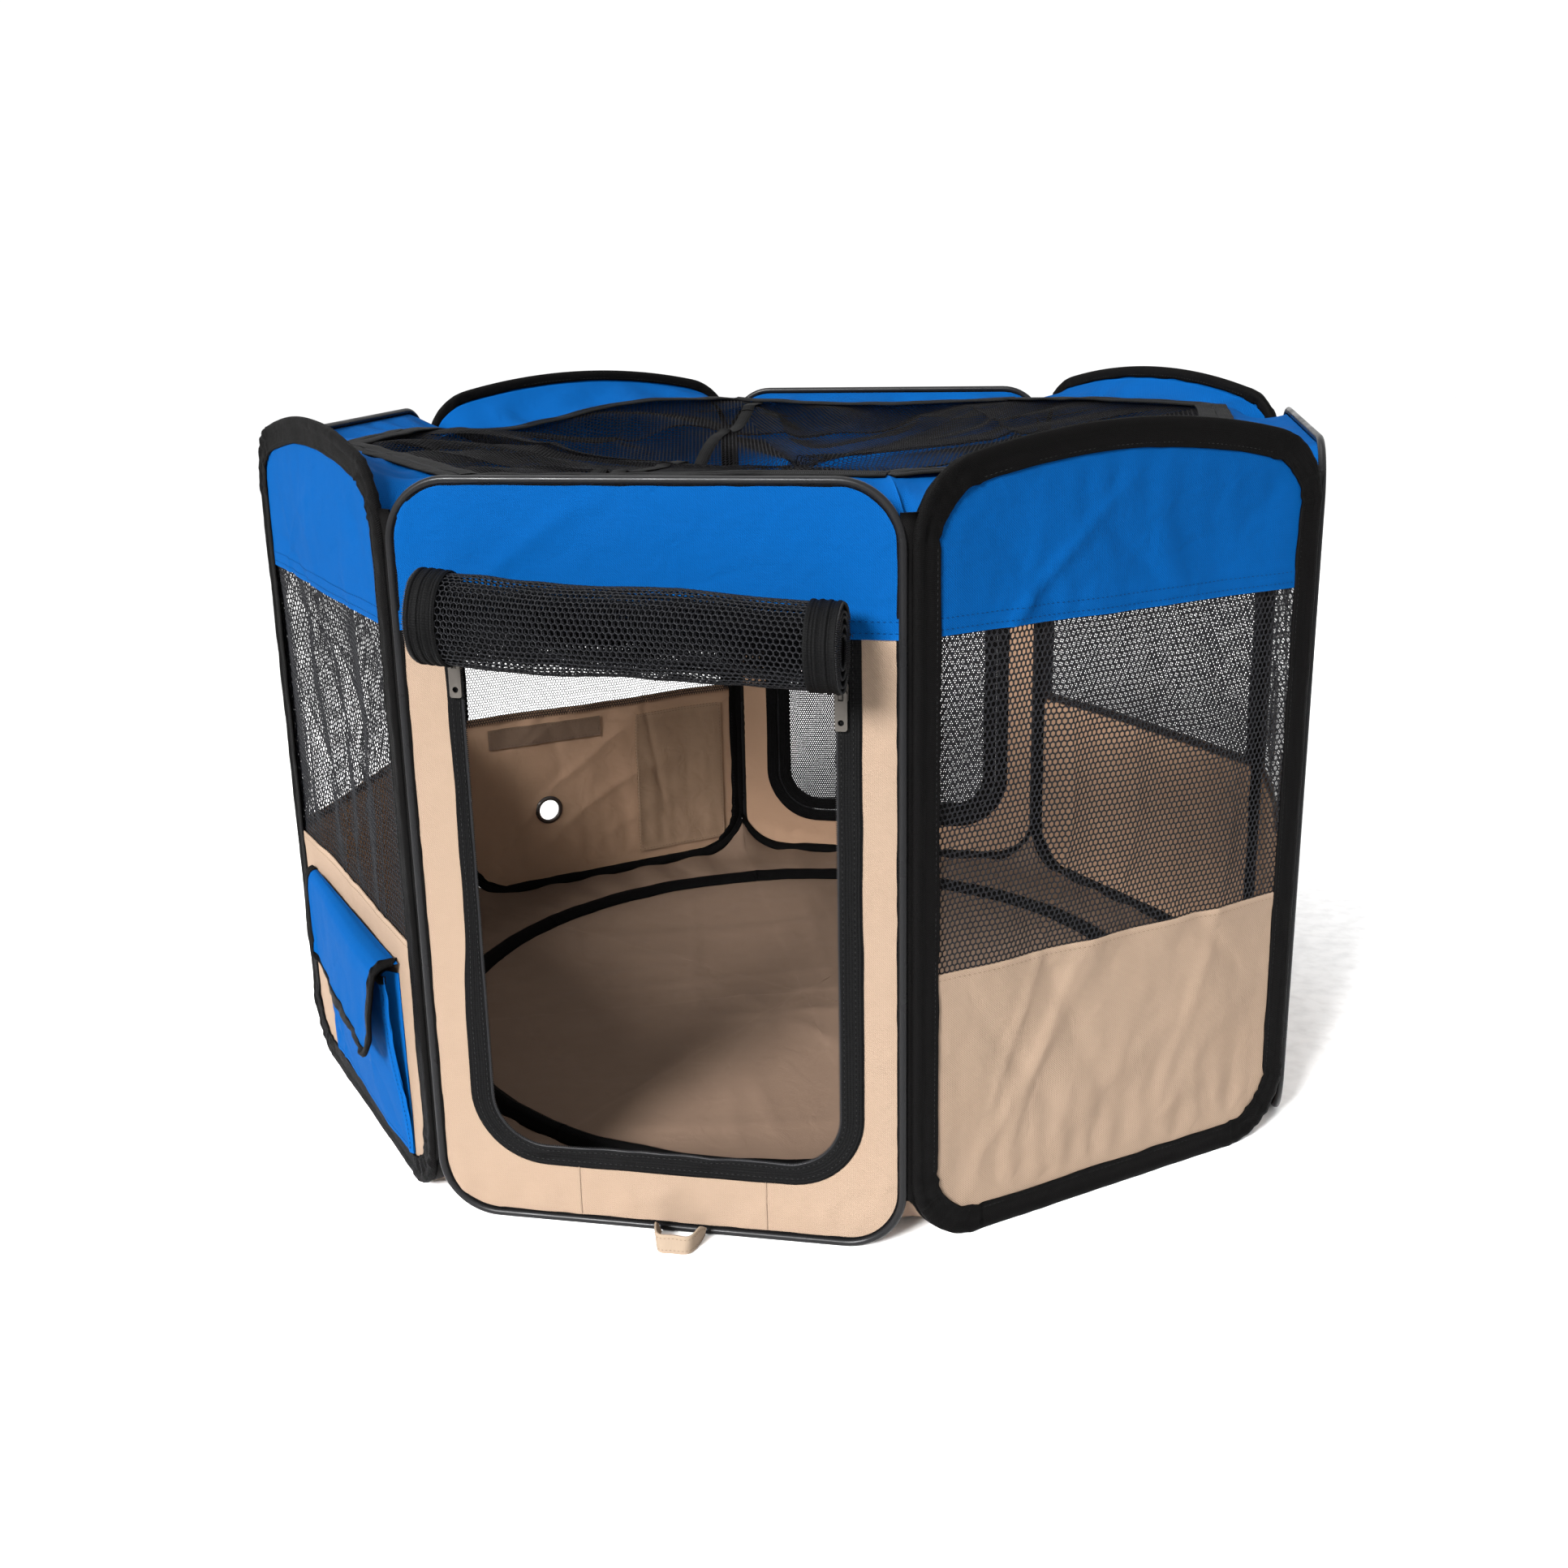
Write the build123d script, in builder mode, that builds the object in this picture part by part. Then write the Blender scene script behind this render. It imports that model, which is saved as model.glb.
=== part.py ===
from build123d import *
import os
from math import cos, radians, sin

# Pop-up pet playpen: an eight-sided ring of fabric wall panels, each stretched on a
# sprung steel hoop, with a fabric floor and a net roof that lifts off.
# Millimetres, +Z up, origin on the ground at the middle of the ring. The front door
# faces -Y. Panels are counted counter-clockwise from the front.

os.makedirs("parts", exist_ok=True)

# ---------------------------------------------------------------- driving sizes
PANEL_SPAN = 375.0       # from one fabric hinge to the next
PINWHEEL = 4.9           # degrees that the bound panels stand turned at rest
PANEL_GAP = 2.0          # cloth showing between a hoop and its hinge line
WALL_HEIGHT = 580.0
ARCH_RISE = 28.0         # how far the bound panels bow up above the wall height
BAND_BOTTOM = 470.0      # lower hem of the blue band
LOWER_TOP = 220.0        # upper hem of the lower wall
CLOTH = 1.0              # modelled thickness of woven cloth and of net
CLEAR = 0.2              # room between pieces that lie side by side

PIPING_WIDTH = 6.0       # round plastic sleeve over the wire of a piped panel
PIPING_CORNER = 48.0
BINDING_WIDTH = 22.0     # woven sleeve over the wire of a bound panel
BINDING_DEPTH = 5.0
BINDING_CORNER = 60.0
WIRE_RADIUS = 1.3
WIRE_ROOM = 1.5          # radius of the channel that holds the wire
WIRE_INSET = 5.0         # of the wire from the binding's outer edge

DOOR_HALF = 137.0        # half the clear width of the front door
DOOR_BOTTOM = 65.0
DOOR_CORNER = 42.0
FRONT_TAPE = 20.0        # width of one side of the front zip
BACK_TAPE = 14.0         # width of each of the two tapes of the closed back zip
BACK_HALF = 121.0        # half the width of the back door's net
BACK_BOTTOM = 72.0
TAPE_DEPTH = 1.6

ROLL_RADIUS = 33.0
ROLL_CORE = 8.0
ROLL_LENGTH = 292.0
ROLL_HEIGHT = 478.0
ROLL_DROOP = 16.0        # the right end hangs lower than the left
ROLL_OUT = 37.0          # of the roll's axis from the front panel
TIE_WIDTH = 18.0
TIE_TOPS = {-84.0: 519.0, 98.0: 505.0}     # a tab's place along the panel and its top
TIE_LENGTH = 62.0

SLIDER_WIDTH = 10.0
SLIDER_HEIGHT = 14.0
SLIDER_TOPS = {"left": 456.0, "right": 440.0}   # of the parked sliders, under the roll
SLIDER_PLATE = 1.5
SLIDER_CORNER = 2.0
POST_WIDTH = 1.6         # of the slider's post, which runs between the two tapes
ZIP_SLOT = 2.4           # open slot between the back door's two tapes
BACK_SLIDER_TOP = 462.0
CROWN_WIDTH = 2.5
CROWN_HALF = 4.0         # half the height of the crown that holds the pull
CROWN_BAR = 1.2
CROWN_ROOM = 1.1         # from the pull's axis to the crown's bars
PULL_OUT = TAPE_DEPTH / 2 + CLEAR + SLIDER_PLATE + CROWN_ROOM
PULL_WIDTH = 9.0
PULL_LENGTH = 28.0
PULL_THICK = 1.2
PULL_ROD = 0.8           # half the height of the bar that turns in the crown
PULL_EYE = 4.8           # height of the hole below that bar
PULL_HOLE = 2.2          # radius of the grip hole
PULL_GRIP = 6.0          # of that hole's middle from the pull's lower end

POCKET_HALF = 130.0
POCKET_BOTTOM = 24.0
POCKET_TOP = 184.0
POCKET_DEPTH_TOP = 27.0
POCKET_DEPTH_BOTTOM = 9.0
POCKET_WALL = 1.2
FLAP_HALF = 134.0
FLAP_SEAM = 193.0
FLAP_DROP = 76.0
FLAP_THICK = 1.6

EYELET_PLACE = (72.0, 96.0)
EYELET_BORE = 12.0
EYELET_TUBE = 13.0
EYELET_FLANGE = 17.0
EYELET_LIP = 0.8

LOOP_WIDTH = 36.0        # fabric loop that a ground stake goes through
LOOP_REACH = 24.0
LOOP_HEIGHT = 20.0
LOOP_MIDDLE = 12.0       # of the loop along the front panel
LOOP_CORNER = 6.0
LOOP_STRAP = 1.4

FLOOR_THICK = 1.2
FLOOR_INSET = 6.0        # of the floor's edge from the hinge lines
FLOOR_RING_RADIUS = 356.0
FLOOR_RING_SECTION = 5.0

ROOF_Z = 572.0           # underside of the roof net
BORDER_INSET = 6.0       # of the blue roof border from the hinge lines
BORDER_WIDTH = 62.0
GORE_GAP = 0.5

NAMES = ("front", "right_front", "right", "right_back",
         "back", "left_back", "left", "left_front")
FRONT, RIGHT_FRONT, RIGHT, RIGHT_BACK, BACK, LEFT_BACK, LEFT, LEFT_FRONT = range(8)


# ---------------------------------------------------------------- the ring in plan
def is_bound(i):
    return i % 2 == 1


def heading(i):
    return 45.0 * i - (PINWHEEL if is_bound(i) else 0.0)


def along(i):
    """Unit vector along panel i, counter-clockwise."""
    return Vector(cos(radians(heading(i))), sin(radians(heading(i))), 0)


def outward(i):
    return Vector(sin(radians(heading(i))), -cos(radians(heading(i))), 0)


def ring_corners():
    """The eight hinge lines in plan, with the ring's middle at the origin."""
    corners = [Vector(0, 0, 0)]
    for i in range(7):
        corners.append(corners[-1] + along(i) * PANEL_SPAN)
    middle = sum(corners, Vector(0, 0, 0)) * (1 / 8)
    return [c - middle for c in corners]


CORNERS = ring_corners()


def panel_plane(i, out=0.0):
    """Sketch plane of panel i: x along it, y up, normal outward, moved out by `out`."""
    middle = (CORNERS[i] + CORNERS[(i + 1) % 8]) * 0.5 + outward(i) * out
    return Plane(origin=middle, x_dir=along(i), z_dir=outward(i))


def on_panel(i, x, y, out=0.0):
    """Point of panel i at x along it from its middle, height y, moved out by `out`."""
    return panel_plane(i, out).from_local_coords(Vector(x, y, 0))


def inset_ring(inset):
    """Plan outline of the ring, moved in from every wall by `inset`."""
    points = []
    for i in range(8):
        before, after = outward(i - 1), outward(i)
        share = inset / (1 + before.dot(after))
        points.append(CORNERS[i] - (before + after) * share)
    return points


def save(builder, name):
    builder.part.label = name
    export_step(builder.part, f"parts/{name}.step")


# ---------------------------------------------------------------- panel outlines
def hoop_width(i):
    return BINDING_WIDTH if is_bound(i) else PIPING_WIDTH


def panel_face(i, inset=0.0):
    """Face of panel i inside its edge by `inset`: flat top if piped, bowed if bound."""
    half = PANEL_SPAN / 2 - PANEL_GAP
    with BuildSketch() as outline:
        with BuildLine():
            Polyline((-half, WALL_HEIGHT), (-half, 0), (half, 0), (half, WALL_HEIGHT))
            if is_bound(i):
                ThreePointArc((half, WALL_HEIGHT), (0, WALL_HEIGHT + ARCH_RISE),
                              (-half, WALL_HEIGHT))
            else:
                Line((half, WALL_HEIGHT), (-half, WALL_HEIGHT))
        make_face()
        corner = BINDING_CORNER if is_bound(i) else PIPING_CORNER
        fillet(outline.vertices(), corner)
        if inset:
            offset(amount=-inset, kind=Kind.ARC)
    return outline.sketch.face()


def u_face(half, bottom, corner, top=BAND_BOTTOM):
    """Door-shaped face: straight sides, square top and rounded lower corners."""
    with BuildSketch() as door:
        with BuildLine():
            Polyline((-half, top), (-half, bottom), (half, bottom), (half, top),
                     close=True)
        make_face()
        fillet(door.vertices().group_by(Axis.Y)[0], corner)
    return door.sketch.face()


def strip(low, high):
    """Cut the sketch in progress down to the heights from low to high."""
    with Locations((0, (low + high) / 2)):
        Rectangle(2 * PANEL_SPAN, high - low, mode=Mode.INTERSECT)


# ---------------------------------------------------------------- hoops
def piped_hoop(i):
    """Steel wire inside a round plastic sleeve, sewn to the edge of a piped panel."""
    middle = PIPING_WIDTH / 2
    path = panel_plane(i) * panel_face(i, middle).outer_wire()
    with BuildPart() as hoop:
        with BuildSketch(Plane(origin=path @ 0, z_dir=path % 0)):
            Circle(PIPING_WIDTH / 2)
        sweep(path=path)
    save(hoop, f"{NAMES[i]}_hoop")


def binding(i):
    """Folded woven sleeve round the edge of a bound panel, with a channel for the wire."""
    path = panel_plane(i) * panel_face(i, WIRE_INSET).outer_wire()
    with BuildPart() as sleeve:
        with BuildSketch(panel_plane(i, -BINDING_DEPTH / 2)):
            add(panel_face(i))
            add(panel_face(i, BINDING_WIDTH), mode=Mode.SUBTRACT)
        extrude(amount=BINDING_DEPTH)
        with BuildSketch(Plane(origin=path @ 0, z_dir=path % 0)):
            Circle(WIRE_ROOM)
        sweep(path=path, mode=Mode.SUBTRACT)
    save(sleeve, f"{NAMES[i]}_binding")


def wire(i):
    path = panel_plane(i) * panel_face(i, WIRE_INSET).outer_wire()
    with BuildPart() as hoop:
        with BuildSketch(Plane(origin=path @ 0, z_dir=path % 0)):
            Circle(WIRE_RADIUS)
        sweep(path=path)
    save(hoop, f"{NAMES[i]}_wire")


# ---------------------------------------------------------------- wall cloth
def wall_cloth(i, name, low, high, opening=None, hole=None):
    """One sewn piece of panel i between two hems, with a door opening or a round hole."""
    inset = hoop_width(i) + (0.0 if is_bound(i) else CLEAR)
    with BuildPart() as cloth:
        with BuildSketch(panel_plane(i, -CLOTH / 2)):
            add(panel_face(i, inset))
            strip(low, high)
            if opening:
                add(opening, mode=Mode.SUBTRACT)
            if hole:
                with Locations(hole):
                    Circle(EYELET_TUBE + CLEAR, mode=Mode.SUBTRACT)
        extrude(amount=CLOTH)
    save(cloth, f"{NAMES[i]}_{name}")


FRONT_ZIP_OUTSIDE = u_face(DOOR_HALF + FRONT_TAPE, DOOR_BOTTOM - FRONT_TAPE,
                           DOOR_CORNER + FRONT_TAPE)
FRONT_ZIP_INSIDE = u_face(DOOR_HALF, DOOR_BOTTOM, DOOR_CORNER)


def back_outline(grow):
    """Door-shaped face of the back door, larger than its net by `grow`."""
    return u_face(BACK_HALF + grow, BACK_BOTTOM - grow, DOOR_CORNER + grow,
                  BAND_BOTTOM - CLEAR)


def wall_panels():
    openings = {FRONT: FRONT_ZIP_OUTSIDE, BACK: back_outline(2 * BACK_TAPE + CLEAR)}
    for i in range(8):
        if is_bound(i):
            binding(i)
            wire(i)
        else:
            piped_hoop(i)
        wall_cloth(i, "upper_band", BAND_BOTTOM, WALL_HEIGHT + ARCH_RISE)
        if i in openings:
            wall_cloth(i, "surround", 0, BAND_BOTTOM, opening=openings[i])
        else:
            hole = EYELET_PLACE if i == LEFT_BACK else None
            wall_cloth(i, "lower_wall", 0, LOWER_TOP, hole=hole)
            wall_cloth(i, "net_window", LOWER_TOP, BAND_BOTTOM)


# ---------------------------------------------------------------- zips
def zip_tape(i, outside, inside, name):
    with BuildPart() as tape:
        with BuildSketch(panel_plane(i, -TAPE_DEPTH / 2)):
            add(outside)
            add(inside, mode=Mode.SUBTRACT)
        extrude(amount=TAPE_DEPTH)
    save(tape, name)


def slider_middle(post_x):
    """Middle of the slider whose post is at post_x: the plates reach out over the tape."""
    reach = (SLIDER_WIDTH - POST_WIDTH) / 2
    return post_x + (reach if post_x > 0 else -reach)


def slider_body(i, post_x, top):
    """Zip slider on panel i: two plates joined by a post, and a crown for the pull."""
    gap = TAPE_DEPTH / 2 + CLEAR
    x = slider_middle(post_x)
    middle_y = top - SLIDER_HEIGHT / 2
    crown_plane = Plane(origin=on_panel(i, x, middle_y, PULL_OUT),
                        x_dir=outward(i), z_dir=-along(i))
    with BuildPart() as slider:
        for out in (gap, -gap - SLIDER_PLATE):
            with BuildSketch(panel_plane(i, out)):
                with Locations((x, middle_y)):
                    RectangleRounded(SLIDER_WIDTH, SLIDER_HEIGHT, SLIDER_CORNER)
            extrude(amount=SLIDER_PLATE)
        with BuildSketch(panel_plane(i, -gap)):
            with Locations((post_x, middle_y)):
                Rectangle(POST_WIDTH, SLIDER_HEIGHT - 2 * SLIDER_CORNER)
        extrude(amount=2 * gap)
        with BuildSketch(crown_plane.offset(-CROWN_WIDTH / 2)):
            Rectangle(2 * (CROWN_ROOM + CROWN_BAR), 2 * CROWN_HALF)
            Rectangle(2 * CROWN_ROOM, 2 * (CROWN_HALF - CROWN_BAR), mode=Mode.SUBTRACT)
        extrude(amount=CROWN_WIDTH)
    return slider


def pull_tab(i, post_x, top):
    """Flat pull tab that hangs from the crown and turns about the panel's own x."""
    x = slider_middle(post_x)
    axis_y = top - SLIDER_HEIGHT / 2
    head = axis_y + PULL_ROD
    with BuildPart() as pull:
        with BuildSketch(panel_plane(i, PULL_OUT - PULL_THICK / 2)):
            with Locations((x, head - PULL_LENGTH / 2)):
                RectangleRounded(PULL_WIDTH, PULL_LENGTH, SLIDER_CORNER)
            with Locations((x, axis_y - PULL_ROD - PULL_EYE / 2)):
                Rectangle(CROWN_WIDTH + 6 * CLEAR, PULL_EYE, mode=Mode.SUBTRACT)
            with Locations((x, head - PULL_LENGTH + PULL_GRIP)):
                Circle(PULL_HOLE, mode=Mode.SUBTRACT)
        extrude(amount=PULL_THICK)
    return pull


def front_zip():
    zip_tape(FRONT, FRONT_ZIP_OUTSIDE, FRONT_ZIP_INSIDE, "front_zip_tape")
    post = DOOR_HALF - ZIP_SLOT / 2
    for side, post_x in (("left", -post), ("right", post)):
        save(slider_body(FRONT, post_x, SLIDER_TOPS[side]), f"front_slider_{side}")
        save(pull_tab(FRONT, post_x, SLIDER_TOPS[side]), f"front_pull_{side}")


def back_zip():
    zip_tape(BACK, back_outline(2 * BACK_TAPE), back_outline(BACK_TAPE + ZIP_SLOT / 2),
             "back_zip_tape")
    zip_tape(BACK, back_outline(BACK_TAPE - ZIP_SLOT / 2), back_outline(0),
             "back_door_tape")
    with BuildPart() as net:
        with BuildSketch(panel_plane(BACK, -CLOTH / 2)):
            add(back_outline(-CLEAR))
        extrude(amount=CLOTH)
    save(net, "back_door_net")
    place = (BACK, BACK_HALF + BACK_TAPE, BACK_SLIDER_TOP)
    with BuildPart() as slider:
        add(slider_body(*place).part)
        add(pull_tab(*place).part)
    save(slider, "back_slider")


# ---------------------------------------------------------------- rolled-up front door
def roll_plane():
    """Plane at the roll's left end, with its normal along the roll's axis."""
    half_length, half_droop = ROLL_LENGTH / 2, ROLL_DROOP / 2
    left = on_panel(FRONT, -half_length, ROLL_HEIGHT + half_droop, ROLL_OUT)
    right = on_panel(FRONT, half_length, ROLL_HEIGHT - half_droop, ROLL_OUT)
    return Plane(origin=left, z_dir=right - left)


def front_roll():
    """The front door's net, rolled up under the blue band with an open core."""
    with BuildPart() as roll:
        with BuildSketch(roll_plane()):
            Circle(ROLL_RADIUS)
            Circle(ROLL_CORE, mode=Mode.SUBTRACT)
        extrude(amount=ROLL_LENGTH)
    save(roll, "front_door_roll")


def roll_ties():
    """Two hook-and-loop tabs, sewn to the wall, that hold the back of the roll."""
    start = CLOTH / 2 + CLEAR
    with BuildPart() as ties:
        for x, top in TIE_TOPS.items():
            with BuildSketch(panel_plane(FRONT, start)):
                with Locations((x, top - TIE_LENGTH / 2)):
                    Rectangle(TIE_WIDTH, TIE_LENGTH)
            extrude(amount=ROLL_OUT - ROLL_RADIUS - start - CLEAR)
    save(ties, "front_roll_ties")


# ---------------------------------------------------------------- pocket
def side_profile(i, x):
    """Plane across panel i at x, with its own x outward and y up."""
    return Plane(origin=on_panel(i, x, 0), x_dir=outward(i), z_dir=-along(i))


def pocket():
    """Bellows pocket of five cloth panels on the left front wall: deeper at its open top."""
    back = CLOTH / 2 + CLEAR
    low, high = POCKET_BOTTOM, POCKET_TOP
    slope = (POCKET_DEPTH_TOP - POCKET_DEPTH_BOTTOM) / (high - low)
    face_low = POCKET_DEPTH_BOTTOM - POCKET_WALL
    face_high = POCKET_DEPTH_TOP - POCKET_WALL
    gap = POCKET_WALL + CLEAR
    with BuildPart() as pouch:
        for profile, middle, length in (
                (((back, low), (back + POCKET_WALL, low), (back + POCKET_WALL, high), (back, high)),
                 0, 2 * POCKET_HALF),
                (((face_low, low), (POCKET_DEPTH_BOTTOM, low), (POCKET_DEPTH_TOP, high),
                  (face_high, high)), 0, 2 * POCKET_HALF),
                (((back + gap, low), (face_low - CLEAR, low),
                  (face_low - CLEAR + slope * POCKET_WALL, low + POCKET_WALL),
                  (back + gap, low + POCKET_WALL)), 0, 2 * (POCKET_HALF - gap)),
                (((back + gap, low), (face_low - CLEAR, low), (face_high - CLEAR, high),
                  (back + gap, high)), POCKET_HALF - POCKET_WALL / 2, POCKET_WALL),
                (((back + gap, low), (face_low - CLEAR, low), (face_high - CLEAR, high),
                  (back + gap, high)), POCKET_WALL / 2 - POCKET_HALF, POCKET_WALL)):
            with BuildSketch(side_profile(LEFT_FRONT, middle).offset(-length / 2)):
                with BuildLine():
                    Polyline(*profile, close=True)
                make_face()
            extrude(amount=length)
    save(pouch, "pocket_pouch")


def pocket_flap():
    """Flap sewn above the pocket: it steps out over the pouch and hangs down in front."""
    start = CLOTH / 2 + CLEAR
    over = POCKET_DEPTH_TOP + 2.0
    low = FLAP_SEAM - FLAP_DROP
    with BuildPart() as flap:
        with BuildSketch(side_profile(LEFT_FRONT, 0).offset(-FLAP_HALF)):
            with BuildLine():
                Polyline((start, FLAP_SEAM), (over - 4, POCKET_TOP + 5), (over, POCKET_TOP - 2),
                         (over, low), (over + FLAP_THICK, low),
                         (over + FLAP_THICK, POCKET_TOP), (over - 3, POCKET_TOP + 7),
                         (start, FLAP_SEAM + FLAP_THICK), close=True)
            make_face()
        extrude(amount=2 * FLAP_HALF)
    save(flap, "pocket_flap")


# ---------------------------------------------------------------- small fittings
def eyelet():
    """Metal eyelet through the left back wall, flanged on both faces."""
    reach = CLOTH / 2 + CLEAR / 2 + EYELET_LIP
    with BuildPart() as ring:
        with BuildSketch(panel_plane(LEFT_BACK, -reach)):
            with Locations(EYELET_PLACE):
                Circle(EYELET_TUBE)
        extrude(amount=2 * reach)
        for out in (-reach, reach - EYELET_LIP):
            with BuildSketch(panel_plane(LEFT_BACK, out)):
                with Locations(EYELET_PLACE):
                    Circle(EYELET_FLANGE)
            extrude(amount=EYELET_LIP)
        with BuildSketch(panel_plane(LEFT_BACK, -reach)):
            with Locations(EYELET_PLACE):
                Circle(EYELET_BORE)
        extrude(amount=2 * reach, mode=Mode.SUBTRACT)
    save(ring, "wall_eyelet")


def ground_loop():
    """Standing fabric loop at the foot of the front panel, for a ground stake."""
    start = PIPING_WIDTH / 2 + CLEAR
    middle = on_panel(FRONT, LOOP_MIDDLE, 0, start + LOOP_REACH / 2)
    with BuildPart() as loop:
        with BuildSketch():
            with Locations(middle):
                RectangleRounded(LOOP_WIDTH, LOOP_REACH, LOOP_CORNER)
                RectangleRounded(LOOP_WIDTH - 2 * LOOP_STRAP, LOOP_REACH - 2 * LOOP_STRAP,
                                 LOOP_CORNER - LOOP_STRAP, mode=Mode.SUBTRACT)
        extrude(amount=LOOP_HEIGHT)
    save(loop, "ground_loop")


# ---------------------------------------------------------------- floor
def floor_pieces():
    with BuildPart() as sheet:
        with BuildSketch():
            with BuildLine():
                Polyline(*inset_ring(FLOOR_INSET), close=True)
            make_face()
        extrude(amount=FLOOR_THICK)
    save(sheet, "floor_sheet")
    with BuildPart() as ring:
        lift = FLOOR_THICK + FLOOR_RING_SECTION
        with BuildSketch(Plane.XZ):
            with Locations((FLOOR_RING_RADIUS, lift)):
                Circle(FLOOR_RING_SECTION)
        revolve(axis=Axis.Z)
    save(ring, "floor_ring")


# ---------------------------------------------------------------- roof
def roof_border():
    """Blue border sewn along the top of the walls, up to the roof's zip."""
    with BuildPart() as border:
        with BuildSketch(Plane.XY.offset(ROOF_Z)):
            with BuildLine():
                Polyline(*inset_ring(BORDER_INSET), close=True)
            make_face()
            with BuildLine():
                Polyline(*inset_ring(BORDER_INSET + BORDER_WIDTH), close=True)
            make_face(mode=Mode.SUBTRACT)
        extrude(amount=CLOTH)
    save(border, "roof_border")


def roof_gores():
    """The net roof as eight gores, one for each wall, that lift and fold with it."""
    rim = inset_ring(BORDER_INSET + BORDER_WIDTH + CLEAR)
    for i, name in enumerate(NAMES):
        left, right = rim[i], rim[(i + 1) % 8]
        with BuildPart() as gore:
            with BuildSketch(Plane.XY.offset(ROOF_Z)):
                with BuildLine():
                    Polyline(Vector(0, 0, 0), left, right, close=True)
                make_face()
                offset(amount=-GORE_GAP / 2, kind=Kind.INTERSECTION)
            extrude(amount=CLOTH)
        save(gore, f"roof_gore_{name}")


wall_panels()
front_zip()
back_zip()
front_roll()
roll_ties()
pocket()
pocket_flap()
eyelet()
ground_loop()
floor_pieces()
roof_border()
roof_gores()
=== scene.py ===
"""Looks of the pet playpen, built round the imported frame. Lengths are in metres.

A panel point is (x along the panel from its middle, z up, out from the panel's middle plane).
"""
import math

import bpy
import numpy as np
from mathutils import Matrix, Vector, geometry


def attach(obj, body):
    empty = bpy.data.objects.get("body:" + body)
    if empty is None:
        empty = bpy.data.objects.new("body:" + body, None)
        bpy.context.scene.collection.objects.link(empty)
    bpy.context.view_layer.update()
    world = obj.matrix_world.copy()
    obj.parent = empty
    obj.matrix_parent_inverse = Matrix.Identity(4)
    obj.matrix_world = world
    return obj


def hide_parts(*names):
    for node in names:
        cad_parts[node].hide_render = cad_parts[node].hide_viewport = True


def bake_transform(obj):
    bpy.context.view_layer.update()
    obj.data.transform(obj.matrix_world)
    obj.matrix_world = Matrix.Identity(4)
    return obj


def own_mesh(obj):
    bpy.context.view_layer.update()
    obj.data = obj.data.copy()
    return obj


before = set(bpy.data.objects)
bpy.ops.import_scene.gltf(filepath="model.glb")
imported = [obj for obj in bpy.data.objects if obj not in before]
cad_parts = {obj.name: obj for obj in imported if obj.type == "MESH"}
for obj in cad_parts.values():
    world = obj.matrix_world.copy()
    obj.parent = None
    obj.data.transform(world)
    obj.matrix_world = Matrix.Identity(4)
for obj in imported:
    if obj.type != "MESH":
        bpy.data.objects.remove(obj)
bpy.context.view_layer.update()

# ---- sizes
NAMES = ("front", "right_front", "right", "right_back", "back", "left_back", "left", "left_front")
FRONT, BACK, LEFT_BACK, LEFT, LEFT_FRONT = 0, 4, 5, 6, 7
SPAN, PINWHEEL = .375, math.radians(4.9)
HALF = SPAN / 2 - .002
TOP, RISE = .580, .028
BAND_LOW, WALL_HIGH = .470, .220
PIPED_CORNER, BOUND_CORNER = .048, .060
BINDING, PIPING = .022, .006
DOOR_HALF, DOOR_LOW, DOOR_CORNER, DOOR_TAPE = .137, .065, .042, .020
BACK_HALF, BACK_LOW, BACK_TAPE, BACK_CORNER = .121, .072, .014, .036
ROLL_LEFT, ROLL_RIGHT, ROLL_RADIUS, ROLL_CORE, ROLL_OUT = -.146, .147, .033, .008, .037
ROLL_Z, ROLL_DROP = .4785, .016
EYELET_X, EYELET_Z, EYELET_HOLE = .072, .096, .0133
POCKET_HALF, POCKET_LOW, POCKET_HIGH = .130, .014, .184
FLAP_SEAM, FLAP_HALF, FLAP_LOW = .193, .134, .114
FLOOR_RING, FLOOR_INSET, FLOOR_TOP = .356, .006, .0022
ROOF_Z, BORDER_INSET, BORDER_WIDTH = .572, .006, .062
NET_PITCH, NET_SIDE, NET_RISE, NET_STRAND = .0044, .0029, .0014, .00076
ROLL_STRAND, ROOF_STRAND = .00070, .00042
# strand half thickness and pitch of each net window, as shares of the usual ones. The right and right-back windows
# get closer, thicker nets so that less of the lit floor shows through them: painted shade standing in for the shaded
# backdrop behind them.
WINDOW_NET = {"left_front": (.66, 1.), "left": (.79, 1.), "left_back": (.57, .72), "right_back": (.92, .60),
              "right": (.85, .60), "right_front": (1., 1.)}
# the back door's net is closer and thicker too: painted shade for the shaded backdrop behind it
DOOR_NET = (.95, .60)
SELVEDGE_PITCH, ROOF_PITCH, ROOF_PITCH_LEFT = .62, .95, .70  # shares of the usual pitch
CLOSE = .205  # above this strand to pitch ratio a net is knitted from flat ribbons
GRID = .005  # spacing of the triangles of flat cloth
THICK = .0009
HEM, STITCH_PITCH, TOOTH_PITCH = .0145, .0042, .0015
LOOP_X = .012


def is_bound(i):
    return i % 2 == 1


HEAD = [math.radians(45) * i - (PINWHEEL if is_bound(i) else 0) for i in range(8)]
ALONG = np.array([(math.cos(h), math.sin(h), 0) for h in HEAD])
OUT = np.array([(math.sin(h), -math.cos(h), 0) for h in HEAD])
UP = np.array((0., 0, 1))
CORNER = np.vstack([np.zeros(3), np.cumsum(ALONG[:7] * SPAN, axis=0)])
CORNER = CORNER - CORNER.mean(0)
MIDDLE = (CORNER + np.roll(CORNER, -1, axis=0)) / 2


def place(i, x, z, out=0.):
    """World points of panel i."""
    x, z, out = np.broadcast_arrays(np.asarray(x, float), z, out)
    return MIDDLE[i] + x[..., None] * ALONG[i] + z[..., None] * UP + out[..., None] * OUT[i]


def in_world(i, n):
    """World directions of flat (x, z) directions in panel i."""
    return n[:, :1] * ALONG[i] + n[:, 1:] * UP


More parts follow.
